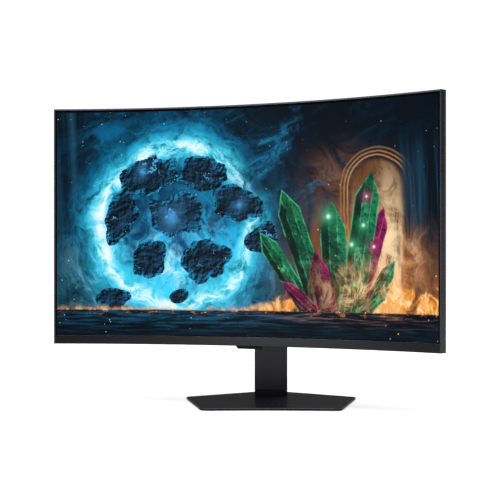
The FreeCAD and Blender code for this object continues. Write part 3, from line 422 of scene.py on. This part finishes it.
# shadow side, lit side, glowing edge
CRYSTAL_COLOURS = {
    "green": ((0.000, 0.008, 0.006), (0.010, 0.20, 0.085), (0.10, 0.80, 0.36)),
    "rose": ((0.008, 0.001, 0.005), (0.24, 0.012, 0.09), (0.9, 0.08, 0.36)),
}


def picture_plane(tree):
    """x to the right and y up from the picture's middle, in picture heights."""
    uv = tree.nodes.new("ShaderNodeUVMap")
    uv.uv_map = "picture"
    split = tree.nodes.new("ShaderNodeSeparateXYZ")
    tree.links.new(uv.outputs[0], split.inputs[0])
    wide = 2 * PICTURE_HALF_ARC / PICTURE_HEIGHT
    x = (Field(tree, split.outputs[0]) - 0.5) * wide
    y = Field(tree, split.outputs[1]) - 0.5
    return x, y


def distance(x, y):
    return (x * x + y * y).math("SQRT")


def turned(x, y, middle, degrees):
    """Coordinates along and across an object that leans to the left by the angle."""
    angle = math.radians(degrees)
    dx, dy = x - middle[0], y - middle[1]
    side = dx * math.cos(angle) + dy * math.sin(angle)
    up = dy * math.cos(angle) - dx * math.sin(angle)
    return side, up


def relief(tree, x, y, scale, light=(-0.006, 0.006)):
    """Rough stone lit from one side: how much the surface rises towards the light."""
    here = noise(tree, vector_of(tree, x, y, scale), scale, 7, 0.68)
    there = noise(tree, vector_of(tree, x + light[0], y + light[1], scale), scale, 7, 0.68)
    return (here - there) * 9 + 0.35


def night_sky(tree, x, y, warp):
    """Deep blue sky with lit clouds above the middle."""
    colour = blend_colours(tree, y.rise(-0.4, 0.5), (0.0006, 0.010, 0.022), (0.0004, 0.004, 0.008))
    place = vector_of(tree, x + warp * 0.5, y * 1.6 - x * 0.5, 3.0)
    cloud = noise(tree, place, 3.8, 10, 0.70, 1.1)
    fine = noise(tree, place, 14, 6, 0.65, 0.6)
    cloud = cloud * 0.78 + fine * 0.22
    here = (x - 0.08).bell(0.26) * (y - 0.26).bell(0.20)
    low = (x - 0.02).bell(0.16) * (y + 0.24).bell(0.14)
    colour = blend_colours(tree, cloud.rise(0.44, 0.72) * 0.5, colour, (0.001, 0.026, 0.056))
    colour = blend_colours(tree, cloud.rise(0.47, 0.66) * here.most(low), colour, (0.006, 0.13, 0.27))
    upper_left = (x + 0.50).bell(0.36) * (y - 0.34).bell(0.20)
    colour = blend_colours(tree, cloud.rise(0.45, 0.62) * upper_left, colour, (0.003, 0.13, 0.28))
    crest = cloud.rise(0.54, 0.68) * here.most(low)
    return blend_colours(tree, crest, colour, (0.02, 0.26, 0.46))


def energy_ring(tree, x, y, colour, warp, warp_more):
    """A bright ragged ring, torn at its upper right, with a blue glow inside and round it."""
    rx = x + (warp - 0.5) * 0.15 - RING_X
    ry = y + (warp_more - 0.5) * 0.15 - RING_Y
    radius = distance(rx, ry)
    angle = ry.math("ARCTAN2", rx)
    streaks = noise(tree, vector_of(tree, angle * 1.5, radius * 8, 0.5), 2.6, 8, 0.70, 0.7)
    wisps = noise(tree, vector_of(tree, rx, ry, 6.0), 7, 8, 0.68, 0.9)
    off = radius - RING_RADIUS
    whole = 1 - (x - 0.04).bell(0.12) * (y - 0.17).bell(0.15) * 0.85
    haze = off.fade(0.07) * wisps.rise(0.30, 0.62) * whole
    colour = blend_colours(tree, haze * 0.8, colour, (0.0, 0.11, 0.30))
    inside = radius.fall(0.10, RING_RADIUS) * (y.fall(-0.30, 0.10) * 0.72 + 0.14)
    colour = blend_colours(tree, inside, colour, (0.0, 0.10, 0.34))
    swirl = wisps.rise(0.42, 0.62) * radius.fall(0.30, 0.40) * y.fall(-0.15, 0.30)
    colour = blend_colours(tree, swirl * 0.9, colour, (0.01, 0.48, 0.90))
    low_glow = (y + 0.24).bell(0.17) * (x - RING_X + 0.04).bell(0.30) * wisps.rise(0.33, 0.58)
    colour = blend_colours(tree, low_glow, colour, (0.05, 0.70, 1.0))
    shine = low_glow * streaks.rise(0.46, 0.66)
    colour = blend_colours(tree, shine, colour, (0.62, 0.97, 1.0))
    halo = off.fade(0.055) * streaks.rise(0.38, 0.62) * whole * 1.5
    colour = blend_colours(tree, halo.least(1), colour, (0.0, 0.46, 0.92))
    band = (off.bell(0.055) * streaks.rise(0.26, 0.58) * whole).least(1)
    colour = blend_colours(tree, band, colour, (0.06, 0.82, 1.0))
    core = off.bell(0.026) * streaks.rise(0.42, 0.62) * whole
    return blend_colours(tree, core, colour, (0.90, 1.0, 1.0))


def lit_arch(tree, x, y, colour, warp):
    """A glowing archway with mouldings in warm smoke, and dark walls at both sides."""
    glow = (x - ARCH_X + 0.08).bell(0.24) * (y + 0.16).bell(0.22)
    streaks = noise(tree, vector_of(tree, x * 8, y * 1.4, 5.0), 3, 7, 0.66)
    colour = blend_colours(tree, glow * streaks.rise(0.25, 0.7), colour, (0.50, 0.17, 0.04))
    smoke = noise(tree, vector_of(tree, x * 1.6 + y * 0.5, y * 1.3, 3.7), 5.5, 9, 0.70, 0.9)
    upper = (x - 0.41).bell(0.11) * (y - 0.19).bell(0.09) * smoke.rise(0.36, 0.60)
    colour = blend_colours(tree, upper * 0.7, colour, (0.28, 0.12, 0.05))
    blaze = (x - 0.62).bell(0.15) * (y + 0.17).bell(0.16) * smoke.rise(0.40, 0.60)
    colour = blend_colours(tree, blaze, colour, (0.95, 0.38, 0.11))
    colour = blend_colours(tree, blaze * smoke.rise(0.50, 0.66), colour, (1.0, 0.80, 0.52))
    reach = distance(x - ARCH_X, (y - ARCH_SPRING).most(0.0)) + (warp - 0.5) * 0.035
    light = blend_colours(tree, y.fall(-0.24, 0.22), (0.13, 0.045, 0.015), (1.0, 0.66, 0.36))
    light = blend_colours(tree, streaks.rise(0.44, 0.62) * 0.85, light, (0.06, 0.018, 0.007))
    hot = (x - ARCH_X - 0.05).bell(0.06) * (y + 0.08).bell(0.24) * smoke.rise(0.40, 0.60)
    light = blend_colours(tree, hot, light, (1.0, 0.74, 0.44))
    colour = blend_colours(tree, reach.fall(ARCH_HALF - 0.02, ARCH_HALF + 0.01), colour, light)
    for step in range(3):
        moulding = (reach - (ARCH_HALF + 0.016 + 0.016 * step)).bell(0.0035)
        faded = moulding * y.rise(-0.2, 0.15) * (0.6 - 0.15 * step)
        colour = blend_colours(tree, faded, colour, (0.75, 0.36, 0.14))
    shafts = noise(tree, vector_of(tree, x * 15 + y * 0.8, y * 0.5, 9.0), 1.5, 7, 0.62)
    lean = x + (y - 0.1) * 0.06
    stone = blend_colours(tree, shafts.rise(0.40, 0.72), (0.0006, 0.004, 0.008), (0.012, 0.072, 0.13))
    right_wall = lean.rise(0.70, 0.74) * y.fall(0.20, 0.40) * y.rise(-0.14, 0.04)
    wall = right_wall.most(x.fall(-0.84, -0.70) * 0.8)
    return blend_colours(tree, wall * 0.95, colour, stone)


def boulders(tree, x, y, colour):
    """Dark floating rocks with glowing seams, in front of the ring."""
    ragged = noise(tree, vector_of(tree, x, y, 1.7), 9, 8, 0.66)
    chips = cells(tree, vector_of(tree, x, y, 2.3), 13)
    chip = Field(tree, chips.outputs["Distance"])
    mass = None
    for middle, half, lean in BOULDERS:
        side, up = turned(x, y, middle, lean)
        size = distance(side / half[0], up / half[1])
        lump = (1 - size) + (ragged - 0.5) * 0.55 - (chip - 0.3) * 0.45
        mass = lump if mass is None else mass.most(lump)
    lit = relief(tree, x, y, 15)
    face = cells(tree, vector_of(tree, x * 1.2, y, 0.4), 20)
    tone = Field(tree, face.outputs["Color"]) * 0.55 + 0.35
    shade = (lit * tone).most(0.0).least(1)
    stone = blend_colours(tree, shade, (0.0005, 0.003, 0.008), (0.014, 0.085, 0.17))
    depth = mass.rise(0.0, 0.32)
    stone = blend_colours(tree, (1 - depth) * lit.rise(0.2, 0.9), stone, (0.01, 0.26, 0.50))
    crack = (noise(tree, vector_of(tree, x, y, 8.8), 5, 5, 0.6) - 0.5).bell(0.006)
    where = noise(tree, vector_of(tree, x, y, 4.1), 6, 2).rise(0.54, 0.62)
    stone = blend_colours(tree, crack * where, stone, (0.10, 0.55, 1.0))
    colour = blend_colours(tree, mass.rise(0.0, 0.03), colour, stone)
    for gx, gy, size in ((-0.36, 0.03, 0.030), (-0.05, 0.08, 0.016), (-0.50, 0.23, 0.014)):
        spot = distance(x - gx, y - gy)
        colour = blend_colours(tree, spot.fade(size) * ragged.rise(0.3, 0.6), colour, (0.10, 0.48, 1.0))
    return colour


def ground_fire(tree, x, y, colour):
    """Flames behind the crystals, and a line of embers along the whole ground."""
    above = y - GROUND_Y
    lick = noise(tree, vector_of(tree, x * 4, y * 2.4 - 0.3, 2.0), 4.4, 9, 0.72, 0.8)
    reach = x.rise(-0.05, 0.40) * 0.12 - x.rise(0.62, 0.86) * 0.05 + 0.012
    flame = ((reach * lick * 2) - above).rise(-0.012, 0.035) * lick.rise(0.36, 0.56)
    smoke = above.fall(0.0, 0.30) * x.rise(0.05, 0.6) * lick.rise(0.25, 0.7)
    colour = blend_colours(tree, smoke * 0.6, colour, (0.70, 0.22, 0.04))
    colour = blend_colours(tree, flame, colour, (1.0, 0.36, 0.05))
    return blend_colours(tree, flame * lick.rise(0.50, 0.64), colour, (1.0, 0.82, 0.42))


def lit_mist(tree, x, y, colour):
    """Smoke lit by the fire, in front of the crystals' feet."""
    drift = noise(tree, vector_of(tree, x * 2.4, y * 1.8 + 1.1, 6.0), 4.6, 9, 0.70, 0.9)
    veil = (y + 0.29).bell(0.09) * (x - 0.52).bell(0.17) * drift.rise(0.38, 0.60)
    colour = blend_colours(tree, veil * 0.45, colour, (0.70, 0.26, 0.07))
    return blend_colours(tree, veil * drift.rise(0.48, 0.64) * 0.8, colour, (1.0, 0.74, 0.40))


def crystals(tree, x, y, colour):
    """A cluster of pointed crystals, each with three long faces and bright edges."""
    lit = relief(tree, x, y, 19, (0.006, 0.005))
    inner = noise(tree, vector_of(tree, x, y, 6.6), 12, 6, 0.7)
    for foot, lean, length, half, family in CRYSTALS:
        shade, bright, edge_glow = CRYSTAL_COLOURS[family]
        side, up = turned(x, y, foot, lean)
        side = side + (inner - 0.5) * 0.014
        gap = (half - side.absolute()).least((length - up) * 0.42 - side.absolute() * 0.8)
        inside = gap.rise(0.0, 0.004) * up.rise(-0.03, 0.0)
        face = side.rise(-half * 0.36, -half * 0.30) * 0.35 + side.rise(half * 0.30, half * 0.36) * 0.5
        along = up / length * 0.9 + 0.35
        light = ((face + 0.07) * (lit * 0.55 + 0.45) * along * 1.15).most(0.0).least(1)
        body = blend_colours(tree, light, shade, bright)
        ridge = (side + half * 0.33).bell(0.0025).most((side - half * 0.33).bell(0.0025))
        edge = (gap - 0.003).bell(0.0035).most(ridge * 0.7) * inner.rise(0.40, 0.62)
        body = blend_colours(tree, edge * 0.6, body, edge_glow)
        core = (up / length - 0.55).bell(0.22) * side.bell(half * 0.5) * inner.rise(0.50, 0.66)
        body = blend_colours(tree, core * 0.7, body, edge_glow)
        colour = blend_colours(tree, inside, colour, body)
    for gx, gy, size, family in (
        (0.37, 0.02, 0.018, "green"),
        (0.535, -0.02, 0.013, "green"),
        (0.48, -0.10, 0.015, "green"),
        (0.585, -0.11, 0.012, "rose"),
        (0.55, 0.10, 0.010, "rose"),
    ):
        spot = distance(x - gx, y - gy)
        glow = CRYSTAL_COLOURS[family][2]
        colour = blend_colours(tree, (spot.fade(size) * 0.9).least(1), colour, glow)
        colour = blend_colours(tree, spot.bell(size * 0.45), colour, (0.9, 1.0, 0.85))
    return colour


def wet_ground(tree, x, y, colour):
    """Dark wet ground that mirrors streaks of the ring's and the fire's light."""
    ripple = noise(tree, vector_of(tree, x * 2.0, y * 26, 4.0), 3.2, 9, 0.68, 0.3)
    water = blend_colours(tree, ripple.rise(0.42, 0.78), (0.0004, 0.003, 0.006), (0.003, 0.024, 0.048))
    near_ring = (x - RING_X).bell(0.55) * y.rise(-0.50, GROUND_Y) * ripple.rise(0.42, 0.66)
    water = blend_colours(tree, near_ring * 0.7, water, (0.006, 0.17, 0.34))
    near_fire = (x - 0.5).bell(0.40) * y.rise(-0.47, GROUND_Y) * ripple.rise(0.48, 0.70)
    water = blend_colours(tree, near_fire * 0.7, water, (0.45, 0.17, 0.05))
    line = (y - GROUND_Y) + (ripple - 0.5) * 0.012
    colour = blend_colours(tree, line.fall(-0.004, 0.004), colour, water)
    coals = noise(tree, vector_of(tree, x * 5, y * 9, 7.0), 4.0, 8, 0.72)
    embers = (y - GROUND_Y).bell(0.016) * coals.rise(0.53, 0.67)
    colour = blend_colours(tree, embers, colour, (1.0, 0.42, 0.10))
    return blend_colours(tree, embers * coals.rise(0.60, 0.72), colour, (1.0, 0.85, 0.55))


def sparks(tree, x, y, colour):
    """Stars above, embers on the right, blue sparks round the ring."""
    for scale, size, spark, where in (
        (30, 0.08, (0.95, 0.62, 0.40), y.rise(0.05, 0.35) * 0.7),
        (22, 0.10, (1.0, 0.50, 0.18), x.rise(-0.15, 0.4) * y.fall(-0.1, 0.5)),
        (40, 0.11, (0.50, 0.92, 1.0), x.fall(-0.15, 0.1)),
        (26, 0.10, (1.0, 0.62, 0.30), x.fall(-0.72, -0.62) * y.bell(0.2)),
    ):
        points = cells(tree, vector_of(tree, x + scale, y), scale)
        dot = Field(tree, points.outputs["Distance"]).fall(size * 0.4, size)
        rare = noise(tree, vector_of(tree, x, y, scale), 11, 1).rise(0.50, 0.60)
        colour = blend_colours(tree, dot * rare * where, colour, spark)
    return colour


def picture():
    """A ring of energy with floating rocks, an archway, crystals and fire."""
    material, shader = new_material("screen_picture")
    tree = material.node_tree
    x, y = picture_plane(tree)
    warp = noise(tree, vector_of(tree, x, y), 3.2, 6, 0.64)
    warp_more = noise(tree, vector_of(tree, x + 7.3, y - 2.1), 4.2, 6, 0.64)
    colour = night_sky(tree, x, y, warp)
    colour = lit_arch(tree, x, y, colour, warp)
    colour = energy_ring(tree, x, y, colour, warp, warp_more)
    colour = boulders(tree, x, y, colour)
    colour = ground_fire(tree, x, y, colour)
    colour = crystals(tree, x, y, colour)
    colour = lit_mist(tree, x, y, colour)
    colour = wet_ground(tree, x, y, colour)
    colour = sparks(tree, x, y, colour)
    shader.inputs["Base Color"].default_value = (0.002, 0.002, 0.003, 1)
    shader.inputs["Specular IOR Level"].default_value = SCREEN_SPECULAR
    haze = noise(tree, object_place(tree), 900, 2)
    tree.links.new((haze * 0.1 + 0.30).socket, shader.inputs["Roughness"])
    tree.links.new(colour, shader.inputs["Emission Color"])
    shader.inputs["Emission Strength"].default_value = 1.0
    return material


def screen_border():
    """Black printed border of the glass."""
    material, shader = new_material("screen_border")
    tree = material.node_tree
    haze = noise(tree, object_place(tree), 900, 2)
    colour = blend_colours(tree, haze, (0.0016, 0.0016, 0.0018), (0.0026, 0.0026, 0.0028))
    tree.links.new(colour, shader.inputs["Base Color"])
    shader.inputs["Specular IOR Level"].default_value = SCREEN_SPECULAR
    tree.links.new((haze * 0.1 + 0.30).socket, shader.inputs["Roughness"])
    return material


# ------------------------------------------------------------------ mesh helpers


def new_piece(name, mesh, material, body, *stands_for):
    piece = bpy.data.objects.new(name, mesh)
    bpy.context.scene.collection.objects.link(piece)
    mesh.materials.append(material)
    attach(piece, body)
    if stands_for:
        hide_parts(*stands_for)
    return piece


SHARP = math.radians(28)
FLAT = math.radians(0.05)
MERGE_DISTANCE = 1e-6
EDGE_SEGMENTS = 3
# cosines between a face's normal and a direction, which tell the faces apart
RISING = 0.2
SIDEWAYS = 0.35
UPWARDS = 0.9


def softened(node, name, width, material):
    """A copy of a CAD node with its edges rounded, which stands for the node."""
    source = frame["nodes"][node]
    mesh = source.data.copy()
    mesh.name = name
    mesh.materials.clear()
    shape = bmesh.new()
    shape.from_mesh(mesh)
    bmesh.ops.remove_doubles(shape, verts=shape.verts, dist=MERGE_DISTANCE)
    bmesh.ops.dissolve_limit(
        shape, angle_limit=FLAT, verts=shape.verts, edges=shape.edges, use_dissolve_boundaries=False
    )
    sharp = [e for e in shape.edges if len(e.link_faces) == 2 and e.calc_face_angle(0) > SHARP]
    bmesh.ops.bevel(
        shape,
        geom=sharp,
        offset=width,
        segments=EDGE_SEGMENTS,
        profile=0.5,
        affect="EDGES",
        clamp_overlap=True,
    )
    for face in shape.faces:
        face.smooth = True
    for edge in shape.edges:
        edge.smooth = len(edge.link_faces) != 2 or edge.calc_face_angle(0) < SHARP
    shape.to_mesh(mesh)
    shape.free()
    piece = new_piece(name, mesh, material, source["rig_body"], node)
    normals = piece.modifiers.new("normals", "WEIGHTED_NORMAL")
    normals.keep_sharp = True
    return piece


def paint_lip_highlight(piece, material, top_highlight_material):
    """The frame's front edge is satin, painted lighter as a painted highlight, and lightest along the
    top as a painted highlight of the light from above.
    """
    piece.data.materials.append(material)
    piece.data.materials.append(top_highlight_material)
    top = display_box("middle_frame")[1].z
    centre = DISPLAY_TURN @ Vector((0, CURVE_CENTRE_Y, 0))
    for face in piece.data.polygons:
        towards_centre = centre - face.center
        towards_centre.z = 0
        in_front = towards_centre.length - CURVE_RADIUS < LIP_DEPTH
        faces_front = face.normal.dot(towards_centre.normalized()) > SIDEWAYS
        if in_front and (faces_front or face.normal.z > RISING):
            face.material_index = 2 if face.center.z > top - LIP_HEIGHT else 1


def paint_base_light_and_shade(piece, edge_shade_material, chamfer_highlight_material):
    """The base's cut edge is painted black as painted shade, and its chamfer gets a painted highlight
    of the light it catches.
    """
    piece.data.materials.append(edge_shade_material)
    piece.data.materials.append(chamfer_highlight_material)
    for face in piece.data.polygons:
        if abs(face.normal.z) < SIDEWAYS:
            face.material_index = 1
        elif SIDEWAYS <= face.normal.z < UPWARDS:
            face.material_index = 2


def make_screen(picture_material, border_material):
    """The glass as one slab: the picture in the middle, a black border round it."""
    low, high = display_box("lcd_glass")
    half_width = (high.x - low.x) / 2
    edge_arc = CURVE_RADIUS * math.asin(half_width / (CURVE_RADIUS + GLASS_THICK))
    columns = [-edge_arc]
    for step in range(SCREEN_STEPS + 1):
        columns.append(PICTURE_HALF_ARC * (2 * step / SCREEN_STEPS - 1))
    columns.append(edge_arc)
    bottom = low.z + PICTURE_LIFT
    rows = [low.z, bottom, bottom + PICTURE_HEIGHT, high.z]
    shape = bmesh.new()
    uv = shape.loops.layers.uv.new("picture")
    front = [[shape.verts.new(on_curve(arc, 0.0, z)) for z in rows] for arc in columns]
    back = [[shape.verts.new(on_curve(arc, GLASS_THICK, z)) for z in rows] for arc in columns]
    last_column, last_row = len(columns) - 1, len(rows) - 1
    for i in range(last_column):
        for j in range(last_row):
            quad = (front[i][j], front[i + 1][j], front[i + 1][j + 1], front[i][j + 1])
            face = shape.faces.new(quad)
            shown = 0 < i < last_column - 1 and j == 1
            face.material_index = 0 if shown else 1
            for loop, (a, b) in zip(face.loops, ((i, j), (i + 1, j), (i + 1, j + 1), (i, j + 1))):
                across = columns[a] / (2 * PICTURE_HALF_ARC) + 0.5
                loop[uv].uv = (across, (rows[b] - bottom) / PICTURE_HEIGHT)
            rear = (back[i][j + 1], back[i + 1][j + 1], back[i + 1][j], back[i][j])
            shape.faces.new(rear).material_index = 1
    for i in range(last_column):
        for j, order in ((0, 1), (last_row, -1)):
            quad = [back[i][j], back[i + 1][j], front[i + 1][j], front[i][j]][::order]
            shape.faces.new(quad).material_index = 1
    for j in range(last_row):
        for i, order in ((0, 1), (last_column, -1)):
            quad = [front[i][j], front[i][j + 1], back[i][j + 1], back[i][j]][::order]
            shape.faces.new(quad).material_index = 1
    for face in shape.faces:
        face.smooth = True
    for edge in shape.edges:
        edge.smooth = edge.calc_face_angle(0) < SHARP
    mesh = bpy.data.meshes.new("screen_panel")
    shape.to_mesh(mesh)
    shape.free()
    panel = new_piece("screen_panel", mesh, picture_material, "display", "lcd_glass")
    panel.data.materials.append(border_material)


# -------------------------------------------------------------------- materials
BLUE_TINT = 1.4

# name, darkest and lightest grey, roughness, grain's scale, grain's height, specular level
PLASTICS = [
    ("steel_black", 0.010, 0.016, 0.42, 1400, 0.00003, 0.40),
    ("base_coat", 0.006, 0.010, 0.26, 1600, 0.00001, 0.20),
    ("column_plastic", 0.008, 0.012, 0.36, 1300, 0.00002, 0.38),
    # painted shade on the base's cut edge, and a painted highlight on its chamfer
    ("base_edge_painted_shade", 0.002, 0.004, 0.45, 1600, 0.00001, 0.05),
    ("base_chamfer", 0.020, 0.034, 0.30, 1600, 0.00001, 0.40),
    ("collar_plastic", 0.003, 0.006, 0.40, 1300, 0.00001, 0.30),
    ("tab_plastic", 0.002, 0.004, 0.45, 1300, 0.00001, 0.06),
    ("frame_plastic", 0.006, 0.010, 0.36, 1500, 0.00001, 0.26),
    # painted highlights: the frame's front edge, and lighter still its top edge
    ("lip_painted_highlight", 0.026, 0.038, 0.34, 1500, 0.00001, 0.14),
    ("lip_top_painted_highlight", 0.065, 0.080, 0.34, 1500, 0.00001, 0.20),
    ("chin_plastic", 0.003, 0.005, 0.30, 1500, 0.00001, 0.14),
    ("inner_plastic", 0.010, 0.016, 0.50, 900, 0.00003, 0.50),
    ("cover_plastic", 0.010, 0.017, 0.50, 1000, 0.00006, 0.40),
    ("component_black", 0.010, 0.018, 0.42, 700, 0.00003, 0.50),
    ("button_plastic", 0.010, 0.016, 0.45, 1200, 0.00003, 0.50),
]


def make_materials():
    materials = {}
    for name, dark, light, roughness, scale, height, specular in PLASTICS:
        low, high = (dark, dark, dark * BLUE_TINT), (light, light, light * BLUE_TINT)
        materials[name] = plastic(name, low, high, roughness, scale, height, specular)
    jacket = ("cable_jacket", (0.50, 0.49, 0.45), (0.62, 0.61, 0.56), 0.45, 500, 0.00004)
    materials["cable_jacket"] = plastic(*jacket)
    slider = ("slider_plastic", (0.60, 0.59, 0.54), (0.72, 0.71, 0.66), 0.40, 600, 0.00002)
    materials["slider_plastic"] = plastic(*slider)
    materials["plain_steel"] = metal("zinc_steel", (0.42, 0.43, 0.45), (0.60, 0.61, 0.62), 0.32)
    strip = ("spring_strip", (0.32, 0.34, 0.38), (0.48, 0.50, 0.54), 0.24, (1, 1, 0.05))
    materials["spring_steel"] = metal(*strip)
    materials["washer_brass"] = metal("washer_brass", (0.55, 0.38, 0.14), (0.72, 0.52, 0.22), 0.3)
    sheet = ("pan_aluminium", (0.58, 0.59, 0.61), (0.70, 0.71, 0.73), 0.36, (0.05, 1, 1))
    materials["pan_aluminium"] = metal(*sheet)
    materials["socket_steel"] = metal("socket_steel", (0.55, 0.56, 0.58), (0.70, 0.70, 0.72), 0.25)
    materials["rubber_grey"] = rubber("foot_rubber")
    materials["board_green"] = circuit_board("board_green")
    materials["film_white"] = film("film_white", (0.86, 0.87, 0.90), 0.0)
    materials["clear_acrylic"] = film("clear_acrylic", (0.90, 0.95, 0.97), 0.9)
    materials["screen_glass"] = screen_border()
    return materials


# node, width of its rounded edge in metres
ROUNDED = {
    "column_front_cover": 0.0009,
    "column_rear_cover": 0.0012,
    "column_top_cap": 0.0012,
    "column_collar": 0.0004,
    "middle_frame": 0.0004,
    "chin_trim": 0.0005,
    "chin_tab": 0.0008,
    "rear_cover": 0.0009,
    "tilt_bracket": 0.0006,
    "carriage_arm": 0.0008,
    "swivel_yoke": 0.0007,
    "jog_cap": 0.0009,
    "base_plate": 0.0003,
    "rubber_feet": 0.0004,
}


# nodes whose finish differs a little from the rest of their slot
FINISHES = {"base_plate": "base_coat", "chin_tab": "tab_plastic"}


# ------------------------------------------------------------------------ build


def build():
    materials = make_materials()
    slots = {part["node"]: part["material_slot"] for part in frame["record"]["subparts"]}
    for node, piece in frame["nodes"].items():
        piece.data.materials.clear()
        piece.data.materials.append(materials[slots[node]])
    for node, width in ROUNDED.items():
        material = materials[FINISHES.get(node, slots[node])]
        piece = softened(node, node + "_rounded", width, material)
        # painted highlights on the frame's front edge and its top edge
        if node == "middle_frame":
            paint_lip_highlight(piece, materials["lip_painted_highlight"], materials["lip_top_painted_highlight"])
        # painted shade on the base's cut edge and a painted highlight on its chamfer
        if node == "base_plate":
            paint_base_light_and_shade(piece, materials["base_edge_painted_shade"], materials["base_chamfer"])
    make_screen(picture(), materials["screen_glass"])


make_camera()
make_room()
build()
